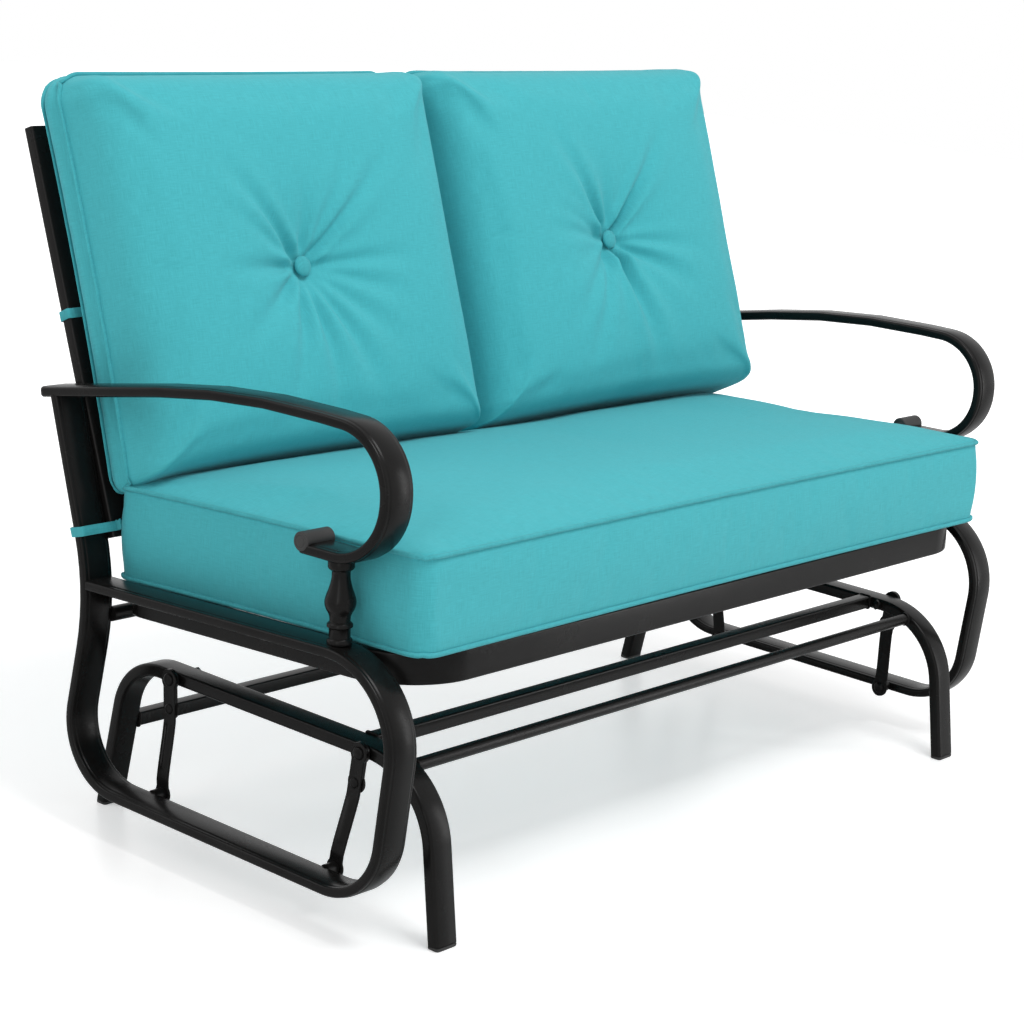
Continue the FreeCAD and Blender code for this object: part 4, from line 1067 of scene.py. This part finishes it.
def rumple(obj, pad, seed, creases=(), tuft=0.0, button=0.0, spot=(0, 0)):
    """Small puckers along the seams, broad soft unevenness, and the hollow and folds of a tuft."""
    hollow_reach = 0.11
    for vert in obj.data.vertices:
        point = vert.co
        a, b = pad.width / 2 - abs(point.x), pad.depth / 2 - abs(point.y)
        inset = min(a, b)
        on_face = point.z > pad.boxing + 0.0005
        if on_face:
            broad = uneven(point, 5, seed) * 0.0022
            broad += uneven(point, 13, seed + 7) * 0.0010
            pucker = uneven(point, 48, seed + 3) * 0.0009 * math.exp(-max(inset, 0) / 0.03)
            pleat = math.cos(9 * math.atan2(b, a) + seed) * math.exp(-math.hypot(a, b) / 0.045)
            vert.co.z += broad * soft_rise(inset, 0.08) + pucker
            vert.co.z += pad.plump * 0.0012 * pleat * soft_rise(inset, 0.03)
        elif 0.004 < point.z < pad.boxing - 0.004:
            wave = uneven(point, 14, seed + 11) * 0.0014 * math.sin(math.pi * point.z / pad.boxing)
            vert.co += pad.outward(point.x, point.y) * wave
        if on_face and tuft > 0:
            dx, dy = point.x - spot[0], point.y - spot[1]
            radius, angle = math.hypot(dx, dy), math.degrees(math.atan2(dy, dx)) % 360
            hollow = tuft * max(0.0, 1 - max(radius - button, 0) / hollow_reach) ** 1.9
            hollow += 0.012 * math.exp(-(radius / hollow_reach) ** 2)
            vert.co.z -= hollow + sum(crease(radius, angle, *values) for values in creases)


def cover(name, pad, limit, spare, *rumpling):
    """A cushion's cover, settled, refined and rumpled, still lying on XY."""
    obj = new_object(name, pad.mesh(name))
    settle(obj, pad, limit, spare)
    refined(obj)
    rumple(obj, pad, *rumpling)
    return obj


def sew(obj, pad, place, name, node_name, piping_node):
    """Puts a cover in its place, with piping that hugs both its seams as a piece of its own."""
    normals = obj.data.vertex_normals
    radius = bpy.context.scene.glider_cushions.piping
    cords = []
    for row in (pad.low_rim, pad.high_rim):
        run = [obj.data.vertices[i].co + normals[i].vector * radius * 0.6 for i in row]
        points = []
        for k, point in enumerate(run):
            before, after, last = run[k - 1], run[(k + 1) % len(run)], run[(k + 2) % len(run)]
            points += [point, (9 * (point + after) - before - last) / 16]
        cords.append(tube(f"{name}_cord", [place @ p for p in points], round_section(radius, 12),
                          UP, finish("piping_cloth_painted_darker"), True, 60))
    claim(joined(name, cords, 60), "cloth", "seat", piping_node)
    obj.data.transform(place)
    finish_mesh(obj, 180)
    wear(obj, "cushion_cloth", "cloth", "seat", node_name)


class GLIDER_OT_seat_cushion(PieceOperator, bpy.types.Operator):
    """Sew the boxed seat cushion with its piping"""
    bl_idname = "glider.seat_cushion"
    bl_label = "Seat cushion"

    def execute(self, context):
        sizes = context.scene.glider_cushions
        place = seat_place() @ Matrix.Translation((0, -0.0045, 0.0246))
        pad = Pad((1.170, 0.512), boxing=0.111, crown=sizes.crown, belly=0.0015,
                  cell=sizes.cell * 1.25, plump=0.25, edge=0.03)
        obj = cover("boxed_seat_cushion", pad, 0.006, 0.002, 2.0)
        sew(obj, pad, place, "seat_piping", "seat_cushion", "seat_cushion_piping")
        return {"FINISHED"}


# Where the buttons lie on their cushions' faces, and how full each cushion is.
TUFTS = {"left": (-0.004, -0.010), "right": (-0.002, -0.010)}
FULLNESS = {"left": 0.90, "right": 1.10}
# Folds of the left-hand tuft: direction in degrees, depth in mm, reach in m and width in mm.
LEFT_FOLDS = [(0, 5.5, 0.16, 5.0), (42, 9.0, 0.19, 5.0), (58, 5.0, 0.14, 4.5), (88, 4.0, 0.11, 5.0),
              (133, 9.0, 0.18, 5.0), (149, 5.0, 0.14, 4.5), (180, 7.0, 0.14, 5.0),
              (214, 7.0, 0.16, 6.0), (248, 7.5, 0.20, 6.0), (272, 8.0, 0.19, 6.0),
              (295, 7.5, 0.19, 6.0), (318, 6.0, 0.16, 6.0), (341, 5.5, 0.15, 5.5)]


class GLIDER_OT_back_cushions(PieceOperator, bpy.types.Operator):
    """Sew the two tufted back cushions with their piping and buttons"""
    bl_idname = "glider.back_cushions"
    bl_label = "Back cushions"

    def execute(self, context):
        sizes = context.scene.glider_cushions
        width, height, forward = 0.580, 0.508, math.radians(1.4)
        stand = tilt(forward) @ Matrix.Translation((0, 0, height / 2)) @ tilt(math.pi / 2)
        spots = []
        for side, way in SIDES.items():
            place = back_place() @ Matrix.Translation((way * 0.2965, -0.01915, 0.052)) @ stand
            pad = Pad((width, height), boxing=0.024, crown=sizes.back_crown * FULLNESS[side],
                      belly=0.0085, cell=sizes.cell, plump=0.88, edge=0.038, corners=(0.018, 0.040),
                      swell=0.15)
            folds = [(a if way < 0 else a + (9 if i % 2 else -9), s * MM, r, w * MM)
                     for i, (a, s, r, w) in enumerate(LEFT_FOLDS)]
            spot = TUFTS[side]
            obj = cover(f"tufted_back_cushion_{side}", pad, 0.008, 0.004, 5.0 + way, folds,
                        sizes.tuft, sizes.button, spot)
            middle = min(obj.data.vertices, key=lambda v: math.dist(v.co.xy, spot) - v.co.z).co.z
            spots.append((place @ Vector((*spot, middle + 0.0045)), place.to_3x3() @ UP))
            sew(obj, pad, place, f"back_piping_{side}", f"back_cushion_{side}",
                f"back_cushion_piping_{side}")
        r = sizes.button
        knots = [(0, -0.002), (r * 0.9, -0.002), (r, 0.0), (r, 0.0012), (r * 0.93, 0.0028),
                 (r * 0.75, 0.0042), (r * 0.45, 0.0052), (0, 0.0056)]
        obj = scattered("covered_buttons", turned("button", knots), spots, finish("piping_cloth_painted_darker"))
        claim(obj, "cloth", "seat", "back_buttons")
        return {"FINISHED"}


class GLIDER_OT_ties(PieceOperator, bpy.types.Operator):
    """Tie the cushions to the back posts and the side frames"""
    bl_idname = "glider.ties"
    bl_label = "Ties"

    def execute(self, context):
        climb, slope = 73, 94.5 / 275.2
        for side, way in SIDES.items():
            place = back_place() @ Matrix.Translation((way * 0.5735, 0, 0.277))
            self.tie(f"tied_back_{side}", place, (0.0358, 0.0163), 0, way, 0.0102,
                     f"back_tie_{side}")
            foot = seat_point(way * 595.5, 245.5 + climb * slope - 2.7, 303.8 + climb)
            place = Matrix.Translation(foot) @ tilt(-BACK_LEAN)
            self.tie(f"tied_seat_{side}", place, (0.0798, 0.0218), -0.0005, way, 0.0085,
                     f"seat_tie_{side}")
        return {"FINISHED"}

    @staticmethod
    def tie(name, place, inner, middle, way, tail, node_name):
        """A cloth tape round a post, with its ends run forward to the cushion."""
        up = Vector((0, math.sin(BACK_LEAN), math.cos(BACK_LEAN)))
        cloth = finish("piping_cloth_painted_darker")
        w, d = inner[0] / 2 + 0.0011, inner[1] / 2 + 0.0011
        corners = [(x * w, middle + y * d, 0) for x, y in ((-1, -1), (1, -1), (1, 1), (-1, 1))]
        loop = [place @ (p + UP * 0.0012 * math.sin(p.x * 160 + p.y * 90))
                for p in closed_path(corners, [0.003] * 4, 15)]
        section = rounded_section(0.012, 0.0015, 0.0006, 2)
        parts = [tube(f"{name}_loop", loop, section, up, cloth, True)]
        for offset, drop in ((-0.006, 0.0), (0.003, -0.0022)):
            start = Vector((offset - way * inner[0] * 0.22, middle - d, drop))
            steps = ((0, 0, 0), (0, -tail * 0.5, -0.001), (0, -tail, 0.0005))
            ends = [place @ (start + Vector(step)) for step in steps]
            parts.append(tube(f"{name}_tail", ends, section, up, cloth))
        claim(joined(name, parts), "cloth", "seat", node_name)


class GLIDER_OT_carried_nodes(PieceOperator, bpy.types.Operator):
    """Paint the construction model's own pieces that stay in view"""
    bl_idname = "glider.carried_nodes"
    bl_label = "Carried-over pieces"

    def execute(self, context):
        finishes = {"frame_powder_coat": ("link_front_doublers", "link_rear_doublers"),
                    "fastener_paint": ("upper_pivot_spacers", "lower_pivot_bushes")}
        for kind, names in finishes.items():
            for name in names:
                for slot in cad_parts[name].material_slots:
                    slot.material = finish(kind)
        return {"FINISHED"}


# ---- stage

class GLIDER_OT_stage(PieceOperator, bpy.types.Operator):
    """Lay the floor, hang the lights and set the camera"""
    bl_idname = "glider.stage"
    bl_label = "Stage"

    def execute(self, context):
        scene = context.scene
        scene.view_settings.view_transform = "Standard"
        corners = [(-9, -9, 0), (9, -9, 0), (9, 9, 0), (-9, 9, 0)]
        floor = new_object("floor", new_mesh("floor", corners, [(0, 1, 2, 3)]))
        floor.data.materials.append(self.floor_finish())
        scene.world = self.studio()
        lamps = {"key": ((-0.3, -2.0, 4.5), (1.8, 1.8), 100),
                 "fill": ((-3.2, -1.6, 1.9), (1.6, 1.6), 3),
                 "rim": ((-2.8, 2.0, 2.6), (1.4, 1.4), 16),
                 "left strip": ((-3.1, -1.3, 1.3), (0.22, 2.2), 8),
                 "front strip": ((2.8, -2.9, 1.0), (0.26, 2.0), 20)}
        target = Vector((0, 0, 0.4))
        for name, (spot, size, power) in lamps.items():
            data = bpy.data.lights.new(name, "AREA")
            data.shape = "RECTANGLE"
            data.size, data.size_y = size
            data.energy = power
            lamp = new_object(name, data)
            lamp.location = spot
            lamp.rotation_euler = (target - Vector(spot)).to_track_quat("-Z", "Y").to_euler()
        scene.camera = self.camera()
        return {"FINISHED"}

    @staticmethod
    def studio():
        """A world that lights the bench softly, and is white to the camera and in reflections."""
        world = bpy.data.worlds.new("studio")
        world.use_nodes = True
        tree = world.node_tree
        white = {"Color": (1, 1, 1, 1), "Strength": 1.0}
        soft = feed(tree, tree.nodes["Background"], {**white, "Strength": 0.55})["Background"]
        plain = node(tree, "ShaderNodeBackground", white)["Background"]
        ray = node(tree, "ShaderNodeLightPath")
        seen = reckoned(tree, "MAXIMUM", ray["Is Camera Ray"], ray["Is Glossy Ray"])
        pick = node(tree, "ShaderNodeMixShader", {"Fac": seen, 1: soft, 2: plain})["Shader"]
        feed(tree, tree.nodes["World Output"], {"Surface": pick})
        return world

    @staticmethod
    def floor_finish():
        """A pale, faintly glossy floor with a painted glow for the camera that is weaker near the
        bench, so it reads darker around the bench and turns white away from it.
        """
        colour = tuple(bpy.context.scene.glider_colours.floor)
        material, tree, shader, where = new_material("pale_floor", colour, 0.3)
        tone = ramp(tree, cloudy(tree, where, 1.5, 3.0), shade(colour, 0.99), colour)
        lit = feed(tree, shader, {"Base Color": tone, "Specular IOR Level": 0.4})["BSDF"]
        # Painted light: the floor glows for camera rays only, with 0.42 near the bench rising to
        # 0.7 beyond 2.4 m, so the floor round the bench is painted darker than the white beyond.
        far = node(tree, "ShaderNodeVectorMath", {0: where}, operation="LENGTH")["Value"]
        painted_glow_range = {"Value": far, "From Min": 0.7, "From Max": 2.4, "To Min": 0.42, "To Max": 0.7}
        painted_glow_strength = node(tree, "ShaderNodeMapRange", painted_glow_range, interpolation_type="SMOOTHSTEP")["Result"]
        ray = node(tree, "ShaderNodeLightPath")
        glow = {"Strength": reckoned(tree, "MULTIPLY", painted_glow_strength, ray["Is Camera Ray"])}
        glow = node(tree, "ShaderNodeEmission", glow)["Emission"]
        whole = node(tree, "ShaderNodeAddShader", {0: lit, 1: glow})["Shader"]
        feed(tree, tree.nodes["Material Output"], {"Surface": whole})
        return material

    @staticmethod
    def camera():
        """The photograph's camera: its place, turn, pitch, roll and lens."""
        yaw, pitch, roll = 0.8756, 0.2429, 0.0846
        picture, lens = 1024, 2545.2
        data = bpy.data.cameras.new("camera")
        data.sensor_fit = "HORIZONTAL"
        data.sensor_width = 36
        data.lens = lens / picture * data.sensor_width
        data.clip_end = 60
        ahead = Vector((math.sin(yaw) * math.cos(pitch), math.cos(yaw) * math.cos(pitch),
                        -math.sin(pitch)))
        side = ahead.cross(UP).normalized()
        rise = side.cross(ahead)
        right = side * math.cos(roll) + rise * math.sin(roll)
        up = rise * math.cos(roll) - side * math.sin(roll)
        turn = Matrix((right, up, -ahead)).transposed().to_4x4()
        obj = new_object("camera", data)
        obj.matrix_world = Matrix.Translation((-2.5761, -2.1110, 1.1807)) @ turn
        return obj


class GLIDER_PT_pieces(bpy.types.Panel):
    """Sidebar panel with every piece's operator and the sizes"""
    bl_label = "Glider bench"
    bl_idname = "GLIDER_PT_pieces"
    bl_space_type = "VIEW_3D"
    bl_region_type = "UI"
    bl_category = "Glider bench"

    def draw(self, context):
        column = self.layout.column()
        for maker in PIECES:
            column.operator(maker.bl_idname)
        for group in GROUPS:
            for name in group.__annotations__:
                column.prop(getattr(context.scene, GROUPS[group]), name)


GROUPS = {GliderMetal: "glider_metal", GliderCushions: "glider_cushions",
          GliderColours: "glider_colours"}
PIECES = (
    GLIDER_OT_stage, GLIDER_OT_side_frames, GLIDER_OT_arms, GLIDER_OT_balusters, GLIDER_OT_base,
    GLIDER_OT_links, GLIDER_OT_fasteners, GLIDER_OT_seat_frame, GLIDER_OT_back_frame,
    GLIDER_OT_seat_cushion, GLIDER_OT_back_cushions, GLIDER_OT_ties, GLIDER_OT_carried_nodes)


def register():
    """Registers the sizes, the operators and the panel."""
    for item in (*GROUPS, *PIECES, GLIDER_PT_pieces):
        bpy.utils.register_class(item)
    for group, name in GROUPS.items():
        setattr(bpy.types.Scene, name, PointerProperty(type=group))


def unregister():
    """Takes them away again."""
    for name in GROUPS.values():
        delattr(bpy.types.Scene, name)
    for item in reversed((*GROUPS, *PIECES, GLIDER_PT_pieces)):
        bpy.utils.unregister_class(item)


def main():
    """Builds every piece in order."""
    register()
    for maker in PIECES:
        group, call = maker.bl_idname.split(".")
        getattr(getattr(bpy.ops, group), call)()


if __name__ == "__main__":
    main()
